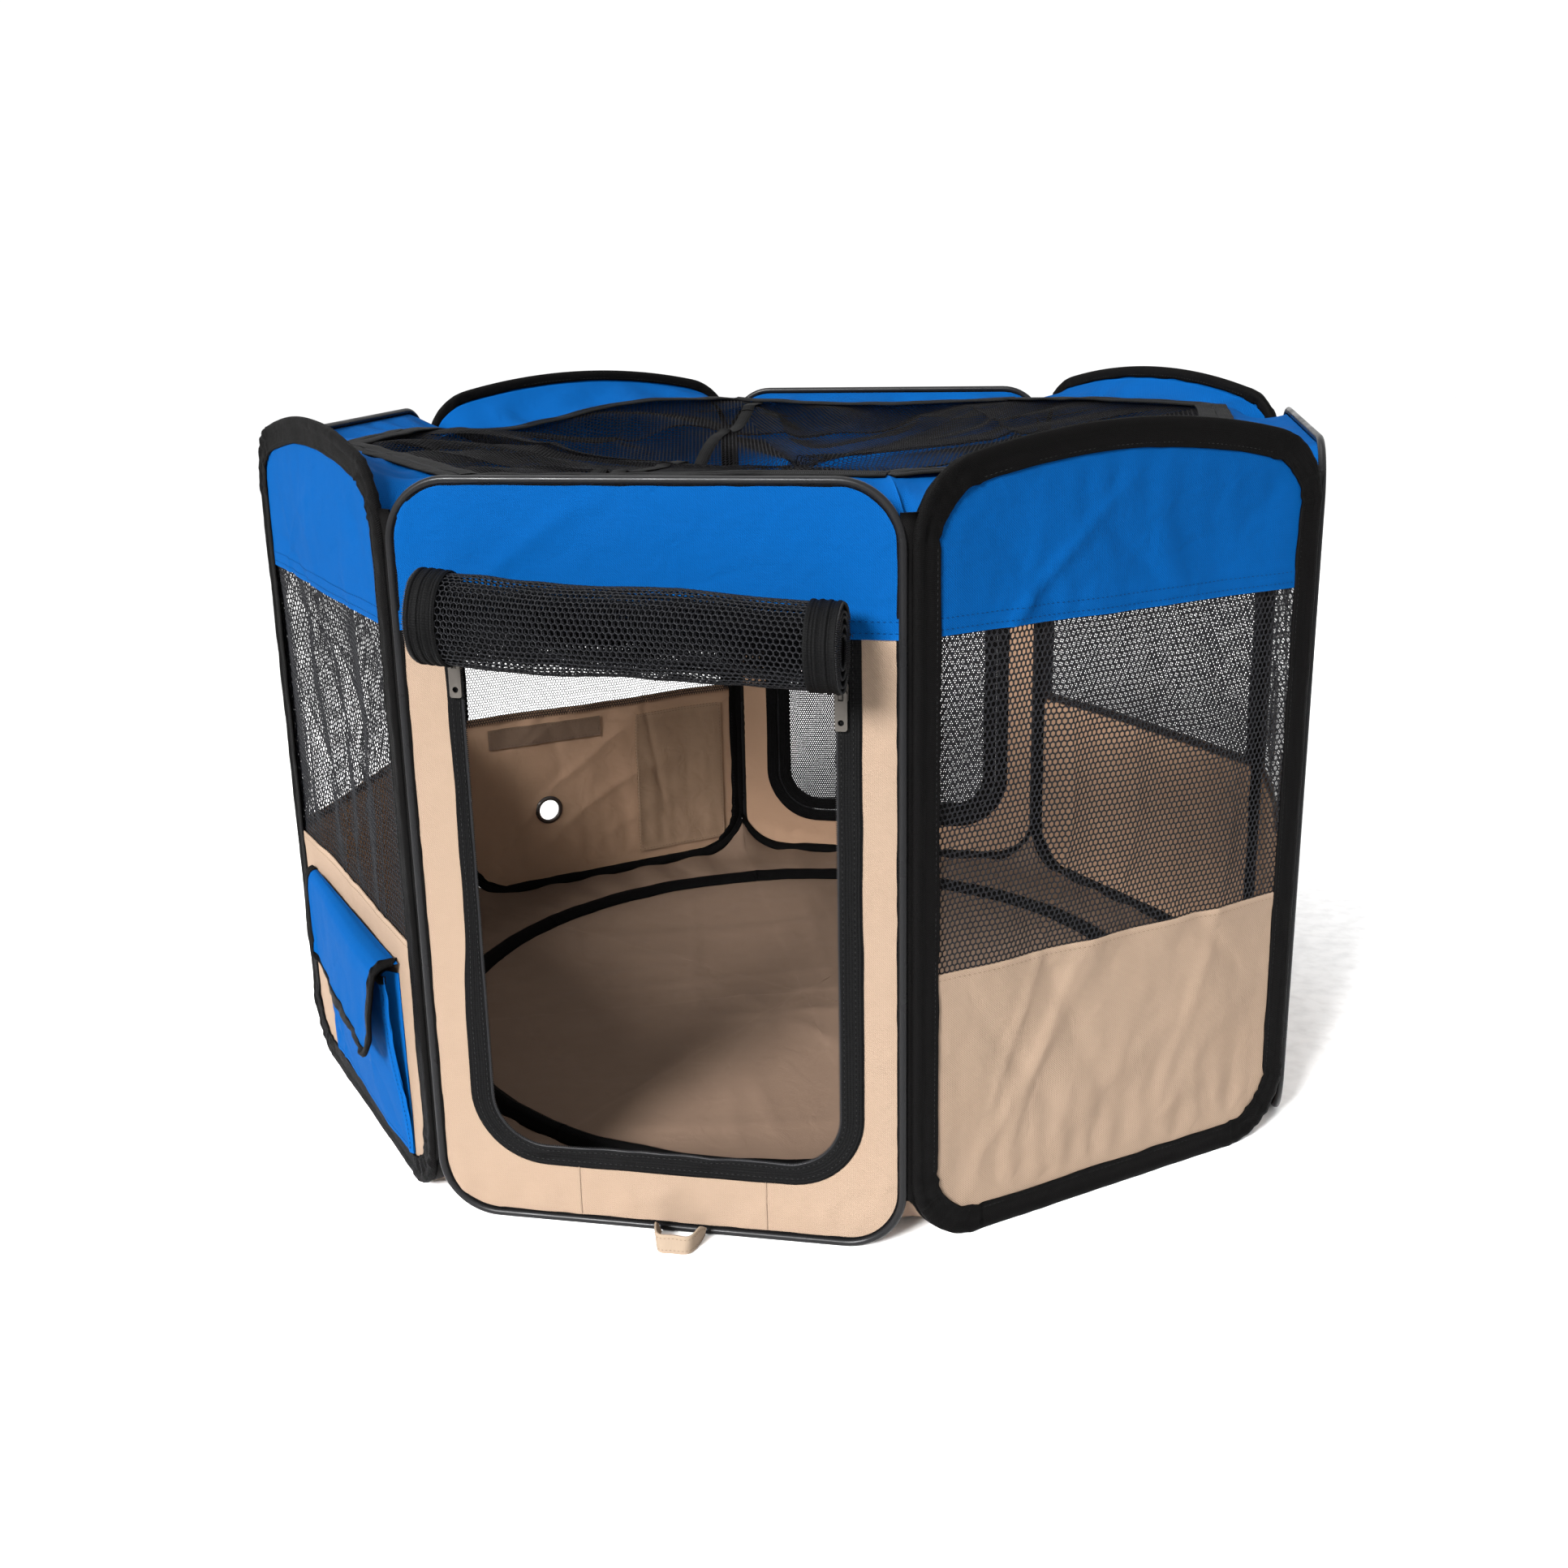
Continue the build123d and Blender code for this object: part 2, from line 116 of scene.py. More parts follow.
def inset_ring(inset):
    share = [inset / (1 + OUT[i - 1] @ OUT[i]) for i in range(8)]
    return np.array([CORNER[i] - (OUT[i - 1] + OUT[i]) * share[i] for i in range(8)])


# ---- noise
def smooth(t):
    t = np.clip(t, 0, 1)
    return t * t * (3 - 2 * t)


def lerp(a, b, t):
    return a + (b - a) * t


def unit(v):
    """Vectors of length 1 along the last axis."""
    return v / (np.linalg.norm(v, axis=-1, keepdims=True) + 1e-12)


def run_of(p):
    """Distance along a polyline at each of its points."""
    return np.r_[0, np.cumsum(np.linalg.norm(np.diff(p, axis=0), axis=1))]


def grids(a, b):
    """Grids of a down the rows and b along them."""
    return np.meshgrid(a, b, indexing="ij")


def tube_profile(half):
    """Closed profile out of its outer half, with the same half behind."""
    return half + [(s, -f) for s, f in half[::-1]]


TABLES = {}


def noise(x, y, seed=0):
    """Smooth value noise from -1 to 1, one feature per unit."""
    if seed not in TABLES:
        TABLES[seed] = np.random.RandomState(seed).uniform(-1, 1, (64, 64))
    table = TABLES[seed]
    x, y = np.broadcast_arrays(np.asarray(x, float), y)
    fx, fy = np.floor(x).astype(int), np.floor(y).astype(int)
    tx, ty = smooth(x - fx), smooth(y - fy)
    row = [lerp(table[fx % 64, (fy + k) % 64], table[(fx + 1) % 64, (fy + k) % 64], tx) for k in (0, 1)]
    return lerp(row[0], row[1], ty)


def folds(x, z, angle, width, length, seed):
    """Long soft creases lying at an angle, from 0 to 1 at the crest."""
    c, s = math.cos(angle), math.sin(angle)
    along, across = x * c + z * s, -x * s + z * c
    bend = noise(along / length, across / length, seed + 1) * width * 1.3
    n = noise(along / length, (across + bend) / width, seed)
    return np.clip(1 - np.abs(n) * 2.2, 0, 1) ** 2


# ---- outlines
def panel_outline(i, step=.004):
    """Closed edge of panel i and its inward normals, anticlockwise from the bottom middle."""
    r = BOUND_CORNER if is_bound(i) else PIPED_CORNER
    arcs = [(HALF - r, r, r, -90, 0)]
    if is_bound(i):
        big = (HALF ** 2 + RISE ** 2) / (2 * RISE)
        base = TOP + RISE - big
        rise = math.sqrt((big - r) ** 2 - (HALF - r) ** 2)
        turn = math.degrees(math.atan2(rise, HALF - r))
        arcs += [(HALF - r, base + rise, r, 0, turn), (0, base, big, turn, 180 - turn),
                 (r - HALF, base + rise, r, 180 - turn, 180)]
    else:
        arcs += [(HALF - r, TOP - r, r, 0, 90), (r - HALF, TOP - r, r, 90, 180)]
    arcs.append((r - HALF, r, r, 180, 270))
    points, normals = [], []
    for cx, cz, radius, a0, a1 in arcs:
        a = np.radians(np.linspace(a0, a1, max(3, int(radius * math.radians(a1 - a0) / step))))
        points.append(np.stack([cx + radius * np.cos(a), cz + radius * np.sin(a)], 1))
        normals.append(-np.stack([np.cos(a), np.sin(a)], 1))
    all_p, all_n = [], []
    for k in range(len(points)):
        start, end = points[k - 1][-1], points[k][0]
        gap = np.linalg.norm(end - start)
        if gap > step:
            t = np.linspace(0, 1, int(gap / step) + 1)[1:-1, None]
            all_p.append(lerp(start, end, t))
            all_n.append(np.repeat(normals[k][:1], len(t), 0))
        keep = slice(1, None) if gap < 1e-9 else slice(0, None)
        all_p.append(points[k][keep])
        all_n.append(normals[k][keep])
    return np.vstack(all_p), np.vstack(all_n)


def u_path(half, low, corner, top, step=.004):
    """Open U from its top left round to its top right, with outward normals."""
    p, n = [], []
    for x0, z0, x1, z1, nx, nz in ((-half, top, -half, low + corner, -1, 0),
                                   (corner - half, low, half - corner, low, 0, -1),
                                   (half, low + corner, half, top, 1, 0)):
        t = np.linspace(0, 1, max(3, int(math.hypot(x1 - x0, z1 - z0) / step)))[:, None]
        p.append(lerp(np.array((x0, z0)), np.array((x1, z1)), t))
        n.append(np.repeat([(nx, nz)], len(t), 0).astype(float))
    out_p, out_n = [p[0]], [n[0]]
    for k, (cx, a0) in enumerate(((corner - half, 180), (half - corner, 270)), 1):
        a = np.radians(np.linspace(a0, a0 + 90, int(corner * 1.57 / step))[1:-1])
        ring = np.stack([np.cos(a), np.sin(a)], 1)
        out_p += [ring * corner + (cx, low + corner), p[k]]
        out_n += [ring, n[k]]
    return np.vstack(out_p), np.vstack(out_n)


def clip(poly, low, high):
    """Part of a convex outline between two heights."""
    for level, sign in ((low, 1), (high, -1)):
        kept = []
        for a, b in zip(poly, np.roll(poly, -1, axis=0)):
            ia, ib = (a[1] - level) * sign >= 0, (b[1] - level) * sign >= 0
            if ia:
                kept.append(a)
            if ia != ib:
                kept.append(lerp(a, b, (level - a[1]) / (b[1] - a[1])))
        poly = np.array(kept)
    return poly


def resample(loop, step=GRID):
    out = []
    for a, b in zip(loop, np.roll(loop, -1, axis=0)):
        n = max(1, int(round(np.linalg.norm(b - a) / step)))
        out += [lerp(a, b, k / n) for k in range(n)]
    out = np.array(out)
    near = np.linalg.norm(out - np.roll(out, 1, axis=0), axis=1) < 1e-5
    return out[~near]


def inside(p, loops):
    odd = np.zeros(len(p), bool)
    for loop in loops:
        a, b = loop, np.roll(loop, -1, axis=0)
        for (x0, y0), (x1, y1) in zip(a, b):
            if y0 != y1:
                cross = ((p[:, 1] < y0) != (p[:, 1] < y1))
                odd ^= cross & (p[:, 0] < x0 + (p[:, 1] - y0) * (x1 - x0) / (y1 - y0))
    return odd


def fill(loops, grid=GRID):
    """Even triangles inside the loops: flat points and triangle indices."""
    loops = [resample(np.asarray(loop, float), grid) for loop in loops]
    edge = np.vstack(loops)
    lo, hi = edge.min(0), edge.max(0)
    gx, gy = np.meshgrid(np.arange(lo[0] + grid / 2, hi[0], grid), np.arange(lo[1] + grid / 2, hi[1], grid))
    gx[1::2] += grid / 2
    inner = np.stack([gx.ravel(), gy.ravel()], 1)
    inner = inner[inside(inner, loops)]
    far = np.array([np.min(np.sum((edge - p) ** 2, 1)) > (grid * .45) ** 2 for p in inner], bool)
    inner = inner[far] if len(inner) else inner.reshape(0, 2)
    edges, start = [], 0
    for loop in loops:
        edges += [(start + k, start + (k + 1) % len(loop)) for k in range(len(loop))]
        start += len(loop)
    found = geometry.delaunay_2d_cdt([Vector(p) for p in np.vstack([edge, inner])], edges, [], 0, 1e-7)
    flat = np.array([v[:] for v in found[0]])
    tris = np.array([f for f in found[2] if len(f) == 3])
    tris = tris[inside(flat[tris].mean(1), loops)]
    used, back = np.unique(tris, return_inverse=True)
    return flat[used], back.reshape(-1, 3)


# ---- meshes
def make(name, verts, faces, uv=None, shade=True):
    """Mesh object from arrays. Faces all have the same number of corners."""
    verts, faces = np.asarray(verts, float), np.asarray(faces, int)
    size = faces.shape[1]
    me = bpy.data.meshes.new(name)
    me.vertices.add(len(verts))
    me.vertices.foreach_set("co", verts.ravel())
    me.loops.add(faces.size)
    me.loops.foreach_set("vertex_index", faces.ravel())
    me.polygons.add(len(faces))
    me.polygons.foreach_set("loop_start", np.arange(0, faces.size, size))
    me.polygons.foreach_set("use_smooth", np.full(len(faces), shade))
    me.update(calc_edges=True)
    layer = me.uv_layers.new(name="flat")
    if uv is None:
        uv = np.stack([verts[:, 0] + verts[:, 1], verts[:, 2]], 1)
    layer.data.foreach_set("uv", np.asarray(uv, float)[faces.ravel()].ravel())
    me.validate()
    obj = bpy.data.objects.new(name, me)
    bpy.context.collection.objects.link(obj)
    return obj


def slab(name, top, bottom, tris, uv):
    """Closed thin solid between two copies of the same triangles."""
    n = len(top)
    edge = np.vstack([tris[:, (0, 1)], tris[:, (1, 2)], tris[:, (2, 0)]])
    key = np.sort(edge, 1)
    _, first, count = np.unique(key, axis=0, return_index=True, return_counts=True)
    rim = edge[first[count == 1]]
    side = np.vstack([np.stack([rim[:, 1], rim[:, 0], rim[:, 0] + n], 1),
                      np.stack([rim[:, 1], rim[:, 0] + n, rim[:, 1] + n], 1)])
    faces = np.vstack([tris, tris[:, ::-1] + n, side])
    obj = make(name, np.vstack([top, bottom]), faces, np.vstack([uv, uv]))
    obj.data.set_sharp_from_angle(angle=math.radians(50))
    flat = uv[tris]
    a, b = flat[:, 1] - flat[:, 0], flat[:, 2] - flat[:, 0]
    obj["flat_area"] = float(np.abs(a[:, 0] * b[:, 1] - a[:, 1] * b[:, 0]).sum() / 2)
    obj["flat_size"] = [float(v) for v in np.ptp(uv, axis=0)]
    return obj


def surface(name, p, thick=THICK, uv=None):
    """Thin closed solid about an (n, m, 3) grid of points."""
    n, m = p.shape[:2]
    normal = unit(np.cross(np.gradient(p, axis=0), np.gradient(p, axis=1)))
    if uv is None:
        run = np.linalg.norm(np.diff(p, axis=0), axis=2).mean(1)
        rise = np.linalg.norm(np.diff(p, axis=1), axis=2).mean(0)
        uv = np.stack(grids(np.r_[0, np.cumsum(run)], np.r_[0, np.cumsum(rise)]), 2)
    i, j = grids(np.arange(n - 1), np.arange(m - 1))
    a, b = (i * m + j).ravel(), ((i + 1) * m + j).ravel()
    tris = np.vstack([np.stack([a, b, b + 1], 1), np.stack([a, b + 1, a + 1], 1)])
    half = normal * thick / 2
    return slab(name, (p + half).reshape(-1, 3), (p - half).reshape(-1, 3), tris, uv.reshape(-1, 2))


def sweep(name, centre, side, face, profile, closed=False, width=None, lift=None):
    """Profile of (side, face) pairs carried along centre. side and face are unit vectors there.
    width and lift add to them, as functions of the step along centre and the place across."""
    c, a, b = (np.asarray(v, float) for v in (centre, side, face))
    a, b = np.broadcast_to(a, c.shape), np.broadcast_to(b, c.shape)
    pr = np.asarray(profile, float)
    n, m = len(c), len(pr)
    s, f = np.broadcast_to(pr[:, 0], (n, m)), np.broadcast_to(pr[:, 1], (n, m))
    if width is not None:
        s = s + width(np.arange(n)[:, None], s)
    if lift is not None:
        f = f + lift(np.arange(n)[:, None], s)
    verts = c[:, None] + s[..., None] * a[:, None] + f[..., None] * b[:, None]
    i, j = grids(np.arange(n if closed else n - 1), np.arange(m))
    ahead, up = (i + 1) % n, (j + 1) % m
    q = [v.ravel() for v in (i * m + j, ahead * m + j, ahead * m + up, i * m + up)]
    tris = [np.stack([q[0], q[1], q[2]], 1), np.stack([q[0], q[2], q[3]], 1)]
    if not closed:
        k = np.arange(1, m - 1)
        tris += [np.stack([0 * k, k + 1, k], 1), np.stack([0 * k, k, k + 1], 1) + (n - 1) * m]
    uv = np.stack(grids(run_of(c), run_of(pr)), 2).reshape(-1, 2)
    return make(name, verts.reshape(-1, 3), np.vstack(tris), uv)


OCTA = np.array([(1, 0, 0), (-1, 0, 0), (0, 1, 0), (0, -1, 0), (0, 0, 1), (0, 0, -1)], float)
OCTA_FACES = np.array([(0, 2, 4), (2, 1, 4), (1, 3, 4), (3, 0, 4), (2, 0, 5), (1, 2, 5), (3, 1, 5), (0, 3, 5)])


def beads(name, centre, t, a, b, size):
    """Small eight-faced grains at the centres: stitches, zip teeth."""
    c = np.asarray(centre, float)
    t, a, b = (np.broadcast_to(np.asarray(v, float), c.shape) for v in (t, a, b))
    v = c[:, None] + sum(OCTA[None, :, k, None] * size[k] * ax[:, None] for k, ax in enumerate((t, a, b)))
    faces = (OCTA_FACES[None] + 6 * np.arange(len(c))[:, None, None]).reshape(-1, 3)
    return make(name, v.reshape(-1, 3), faces)


def walk(points, pitch):
    """Evenly spaced points along a polyline, with unit directions."""
    p = np.asarray(points, float)
    run = run_of(p)
    at = np.arange(pitch / 2, run[-1] - pitch / 4, pitch)
    q, ahead, behind = (np.stack([np.interp(at + step, run, c) for c in p.T], 1)
                        for step in (0, pitch / 3, -pitch / 3))
    return q, unit(ahead - behind)


def stitches(name, points, face):
    """Row of thread stitches along world points. face is the cloth's normal."""
    c, t = walk(points, STITCH_PITCH)
    return beads(name, c, t, np.cross(face, t), face, (.00145, .0003, .00028))


def net(name, lo, hi, at, keep=None, strand=NET_STRAND, pitch=NET_PITCH):
    """Hexagonal knitted net over a flat rectangle. at maps flat points, keep says which ones belong.
    The strands of a close net are flat ribbons, and those of the others are three-sided."""
    k = pitch / NET_PITCH
    side, rise = NET_SIDE * k, NET_RISE * k
    row = side + rise
    cols, rows = int((hi[0] - lo[0]) / pitch) + 2, int((hi[1] - lo[1]) / row) + 2
    i, j = grids(np.arange(-1, cols), np.arange(-1, rows))
    foot = np.stack([lo[0] + (i + (j % 2) * .5) * pitch, lo[1] + j * row], 2).reshape(-1, 2)
    head = foot + (0, side)
    a = np.vstack([foot, head, head])
    b = np.vstack([head, head + (pitch / 2, rise), head + (-pitch / 2, rise)])
    mid = (a + b) / 2
    ok = keep(mid) if keep else ((mid > lo) & (mid < hi)).all(1)
    a, b, mid = a[ok], b[ok], mid[ok]
    pa, pb = at(a), at(b)
    e = .0004
    normal = unit(np.cross(at(mid + (e, 0)) - at(mid), at(mid + (0, e)) - at(mid)))
    d = unit(pb - pa)
    pa, pb = pa - d * strand * .3, pb + d * strand * .3
    across = np.cross(d, normal)
    close = strand > CLOSE * pitch
    turns = np.radians((180, 0) if close else (90, 210, 330))
    sides = len(turns)
    ring = [p + across * (math.cos(turn) * strand * 1.15) + normal * (math.sin(turn) * strand * .85)
            for p in (pa, pb) for turn in turns]
    quad = np.array([(0, 1, 3, 2)] if close else [(0, 1, 4, 3), (1, 2, 5, 4), (2, 0, 3, 5)])
    faces = (quad[None] + 2 * sides * np.arange(len(a))[:, None, None]).reshape(-1, 4)
    obj = make(name, np.stack(ring, 1).reshape(-1, 3), faces,
               np.stack([a] * sides + [b] * sides, 1).reshape(-1, 2))
    obj["flat_area"] = float(len(a) / 3 * pitch * row)
    obj["flat_size"] = [float(hi[0] - lo[0]), float(hi[1] - lo[1])]
    return obj


# ---- materials
def node(tree, kind, inputs=None, **props):
    n = tree.nodes.new(kind)
    for key, value in props.items():
        setattr(n, key, value)
    for key, value in (inputs or {}).items():
        if isinstance(value, bpy.types.NodeSocket):
            tree.links.new(value, n.inputs[key])
        else:
            n.inputs[key].default_value = value
    return n


def math_node(tree, op, a, b):
    return node(tree, "ShaderNodeMath", {0: a, 1: b}, operation=op).outputs[0]


def mix(tree, factor, a, b):
    return node(tree, "ShaderNodeMix", {0: factor, 6: a, 7: b}, data_type="RGBA").outputs[2]


def grains(tree, at, scale, detail, **more):
    return node(tree, "ShaderNodeTexNoise", {"Vector": at, "Scale": scale, "Detail": detail, **more}).outputs["Fac"]


def spread(tree, value, low, high, to_low, to_high):
    """value from low to high, spread over to_low to to_high."""
    return node(tree, "ShaderNodeMapRange", {"Value": value, "From Min": low, "From Max": high, "To Min": to_low,
                                             "To Max": to_high}).outputs[0]


def tinted(colour, times=1., plus=0.):
    return (*[c * times + plus for c in colour], 1)


def start_material(name, shine, metallic=0.):
    m = bpy.data.materials.new(name)
    m.use_nodes = True
    tree = m.node_tree
    tree.nodes.clear()
    shader = node(tree, "ShaderNodeBsdfPrincipled", {"Specular IOR Level": shine, "Metallic": metallic})
    node(tree, "ShaderNodeOutputMaterial", {"Surface": shader.outputs[0]})
    rubbed = node(tree, "ShaderNodeNewGeometry").outputs["Pointiness"]
    return m, tree, shader, rubbed


def finish_material(tree, shader, body, gloss, bumps):
    """Links colour, roughness and a chain of (height, strength, distance) bumps into the shader."""
    tree.links.new(body, shader.inputs["Base Color"])
    tree.links.new(gloss, shader.inputs["Roughness"])
    normal = {}
    for height, strength, distance in bumps:
        bump = node(tree, "ShaderNodeBump", {"Height": height, "Strength": strength, "Distance": distance, **normal})
        normal = {"Normal": bump.outputs[0]}
    tree.links.new(normal["Normal"], shader.inputs["Normal"])


def woven(name, colour, thread=.0011, contrast=.22, rough=.82, bump=.0004, crumple=.0005, shine=.05, soil=None,
          rib=False):
    """Cloth: diagonal twill crossed by threads, fibre fuzz, soft cloudy shade and small crumples."""
    m, t, shader, rubbed = start_material(name, shine)
    uv = node(t, "ShaderNodeUVMap", uv_map="flat").outputs[0]
    twill = node(t, "ShaderNodeTexWave", {"Vector": uv, "Scale": (.314 if rib else .628) / thread,
                                          "Distortion": .9, "Detail": 1., "Detail Scale": 3.},
                 bands_direction="Y" if rib else "DIAGONAL").outputs["Fac"]
    weft = node(t, "ShaderNodeTexWave", {"Vector": uv, "Scale": .314 / (thread * .8), "Distortion": .5},
                bands_direction="X").outputs["Fac"]
    fuzz = grains(t, uv, 1500., 2.)
    cloud = grains(t, uv, 16., 5., Roughness=.6)
    slub = grains(t, node(t, "ShaderNodeMapping", {"Vector": uv, "Scale": (30., 900., 1.)}).outputs[0], 1., 2.)
    wrinkle = grains(t, uv, 42., 3., Distortion=.6)
    weave = math_node(t, "ADD", math_node(t, "MULTIPLY", twill, .5),
                      math_node(t, "ADD", math_node(t, "MULTIPLY", weft, .25), math_node(t, "MULTIPLY", fuzz, .35)))
    shade = math_node(t, "MULTIPLY", math_node(t, "POWER", cloud, 2.), .9)
    body = mix(t, weave, tinted(colour, 1 - contrast), tinted(colour))
    body = mix(t, shade, body, tinted(soil) if soil else tinted(colour, .80))
    body = mix(t, math_node(t, "MULTIPLY", slub, .18), body, tinted(colour, 1.12, .004))
    body = mix(t, spread(t, rubbed, .53, .62, 0., .35), body, tinted(colour, 1.4, .002))
    shader.inputs["Base Color"].default_value = tinted(colour)
    finish_material(t, shader, body, spread(t, cloud, .3, .7, rough - .07, rough + .06),
                    [(wrinkle, .8, crumple * 4), (weave, .8, bump)])
    return m


def moulded(name, colour, rough=.25, metallic=0., grain=900., wear=(.3, .3, .3), amount=.35, shine=.5):
    """Plastic or metal: fine grain, smudged gloss and lighter rubbed edges."""
    m, t, shader, rubbed = start_material(name, shine, metallic)
    at = node(t, "ShaderNodeTexCoord").outputs["Object"]
    fine, smudge = grains(t, at, grain, 3.), grains(t, at, 35., 4.)
    body = mix(t, fine, tinted(colour, .8), tinted(colour, 1.2))
    body = mix(t, spread(t, rubbed, .51, .6, 0., amount), body, tinted(wear))
    finish_material(t, shader, body, spread(t, smudge, .3, .7, max(.05, rough - .08), rough + .12),
                    [(fine, .5, .00008)])
    return m


BLUE = woven("blue_oxford", (.0003, .046, .172), thread=.0018, contrast=.46, soil=(.0002, .037, .140),
             shine=.02)
BEIGE = woven("beige_oxford", (.203, .147, .107), thread=.0018, contrast=.34, soil=(.175, .123, .087))
# inner face of the beige walls: a warmer, lighter copy of the beige, tuned to the light inside the pen (painted
# light)
INSIDE_LIGHT_BEIGE = woven("beige_inside_painted_light", (.350, .221, .143), contrast=.16, soil=(.294, .179, .112), rough=.6)
# painted shadow: colour of the outer pocket's shadow, seen through the left-back wall from inside
POCKET_SHADOW_BEIGE = woven("beige_pocket_painted_shadow", (.260, .171, .112), contrast=.22, soil=(.217, .137, .087), rough=.6)
# floor cloth: its own beige-brown, darkened well below the wall beige to stand in for the shade inside the pen
# (partly own colour, partly painted shade)
FLOOR_CLOTH_SHADED = woven("floor_oxford_painted_shade", (.140, .094, .067), contrast=.12, rough=.66, soil=(.116, .077, .054),
              crumple=.00025)
BINDING_CLOTH = woven("black_webbing", (.0028, .0026, .0026), thread=.0016, contrast=.75, rough=.55,
                      bump=.0008, soil=(.002, .002, .002), shine=.02)
TAPE = woven("zip_tape_woven", (.0034, .0034, .0036), thread=.0022, contrast=.7, rough=.6,
             bump=.0008, soil=(.003, .003, .003), rib=True, shine=.03)
NET = woven("black_mesh", (.0085, .0087, .0105), thread=.0005, contrast=.5, rough=.45,
            soil=(.0035, .0036, .0044), shine=.14)
# roof net: a darker copy of the black mesh, to dim the light falling on the roof from above (painted shade)
ROOF_NET = woven("black_mesh_fine_painted_shade", (.0020, .0020, .0028), thread=.0005, contrast=.5, rough=.5,
                 soil=(.0012, .0012, .0016), shine=.03)
LOOP_CLOTH = woven("beige_strap", (.215, .165, .122), contrast=.25, soil=(.165, .125, .088))
# painted shadow: colour of the outside strap's shadow, seen through the left-back wall from inside
STRAP_SHADOW_BROWN = woven("brown_strap_painted_shadow", (.165, .110, .077), contrast=.4, soil=(.125, .083, .058))
PIPE = moulded("piping_vinyl", (.006, .006, .0065), rough=.30, wear=(.02, .02, .02), shine=.12)
METAL = moulded("dark_brass", (.022, .020, .018), rough=.38, metallic=.8, wear=(.15, .135, .12), amount=.4,
                shine=.4)
COIL = moulded("nylon_coil", (.006, .006, .007), rough=.38, wear=(.014, .014, .014), shine=.12)
STEEL = moulded("spring_steel_bare", (.30, .30, .31), rough=.3, metallic=1.)
EYELET = moulded("eyelet_nickel", (.10, .09, .085), rough=.3, metallic=.95, wear=(.5, .48, .45), amount=.8)
BLUE_THREAD = moulded("blue_thread", (.0003, .012, .046), rough=.8, grain=3000., wear=(.001, .016, .06),
                      shine=.05)
BEIGE_THREAD = moulded("beige_thread", (.110, .074, .050), rough=.8, grain=3000., wear=(.13, .09, .06),
                       shine=.05)
BLACK_THREAD = moulded("black_thread", (.010, .010, .010), rough=.6, grain=3000., wear=(.02, .02, .02),
                       shine=.1)


def piece(obj, material, body, replaces=()):
    """Gives obj its material and body (None for a piece left on no body), and hides what it replaces."""
    obj.data.materials.append(material)
    if body:
        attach(obj, body)
    if replaces:
        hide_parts(*replaces)
    return obj


def sewn(name, line, face, thread, body):
    return piece(stitches(name, line, face), thread, body)


# ---- camera and light
YAW, PITCH, ROLL = -.2004, -.2917, -.0206
forward = Vector((math.sin(YAW) * math.cos(PITCH), math.cos(YAW) * math.cos(PITCH), math.sin(PITCH)))
right = Vector((math.cos(YAW), -math.sin(YAW), 0))
upward = right.cross(forward)
right, upward = (right * math.cos(ROLL) + upward * math.sin(ROLL),
                 upward * math.cos(ROLL) - right * math.sin(ROLL))
camera = bpy.data.objects.new("camera", bpy.data.cameras.new("camera"))
bpy.context.collection.objects.link(camera)
camera.data.sensor_width, camera.data.lens = 36, 38.96
camera.matrix_world = Matrix.Translation((.3033, -1.5723, .7086)) @ Matrix(
    (right, upward, -forward)).transposed().to_4x4()
bpy.context.scene.camera = camera
bpy.context.scene.view_settings.view_transform = "Standard"


def lamp(name, place_at, aim, size, power, cone=None):
    """Round soft lamp, or a spot with a soft edge when it has a cone."""
    data = bpy.data.lights.new(name, "SPOT" if cone else "AREA")
    data.energy = power
    if cone:
        data.spot_size, data.spot_blend, data.shadow_soft_size = math.radians(cone), .25, size / 2
    else:
        data.shape, data.size = "DISK", size
    obj = bpy.data.objects.new(name, data)
    bpy.context.collection.objects.link(obj)
    obj.location = place_at
    obj.rotation_euler = (Vector(aim) - Vector(place_at)).to_track_quat("-Z", "Y").to_euler()


lamp("key", (-1.4, -3.4, 2.2), (0, -.04, .24), 2.2, 6800, 20.)
lamp("top", (-.6, .4, 3.4), (0, 0, .2), 2.4, 40)
world = bpy.data.worlds.new("studio")
world.use_nodes = True
world.node_tree.nodes["Background"].inputs[0].default_value = (1, 1, 1, 1)
world.node_tree.nodes["Background"].inputs[1].default_value = 1.07
bpy.context.scene.world = world
ground = make("studio_floor", [(-9, -9, 0), (9, -9, 0), (9, 9, 0), (-9, 9, 0)], [(0, 1, 2, 3)])
ground.data.materials.append(moulded("studio_paper", (.96, .96, .96), rough=.9, grain=60., wear=(.96, .96, .96),
                                     shine=.2))


# ---- how each wall's cloth lies
def wall_top(i, x):
    if not is_bound(i):
        return np.full_like(np.asarray(x, float), TOP)
    big = (HALF ** 2 + RISE ** 2) / (2 * RISE)
    return TOP + RISE - big + np.sqrt(big ** 2 - np.asarray(x, float) ** 2)


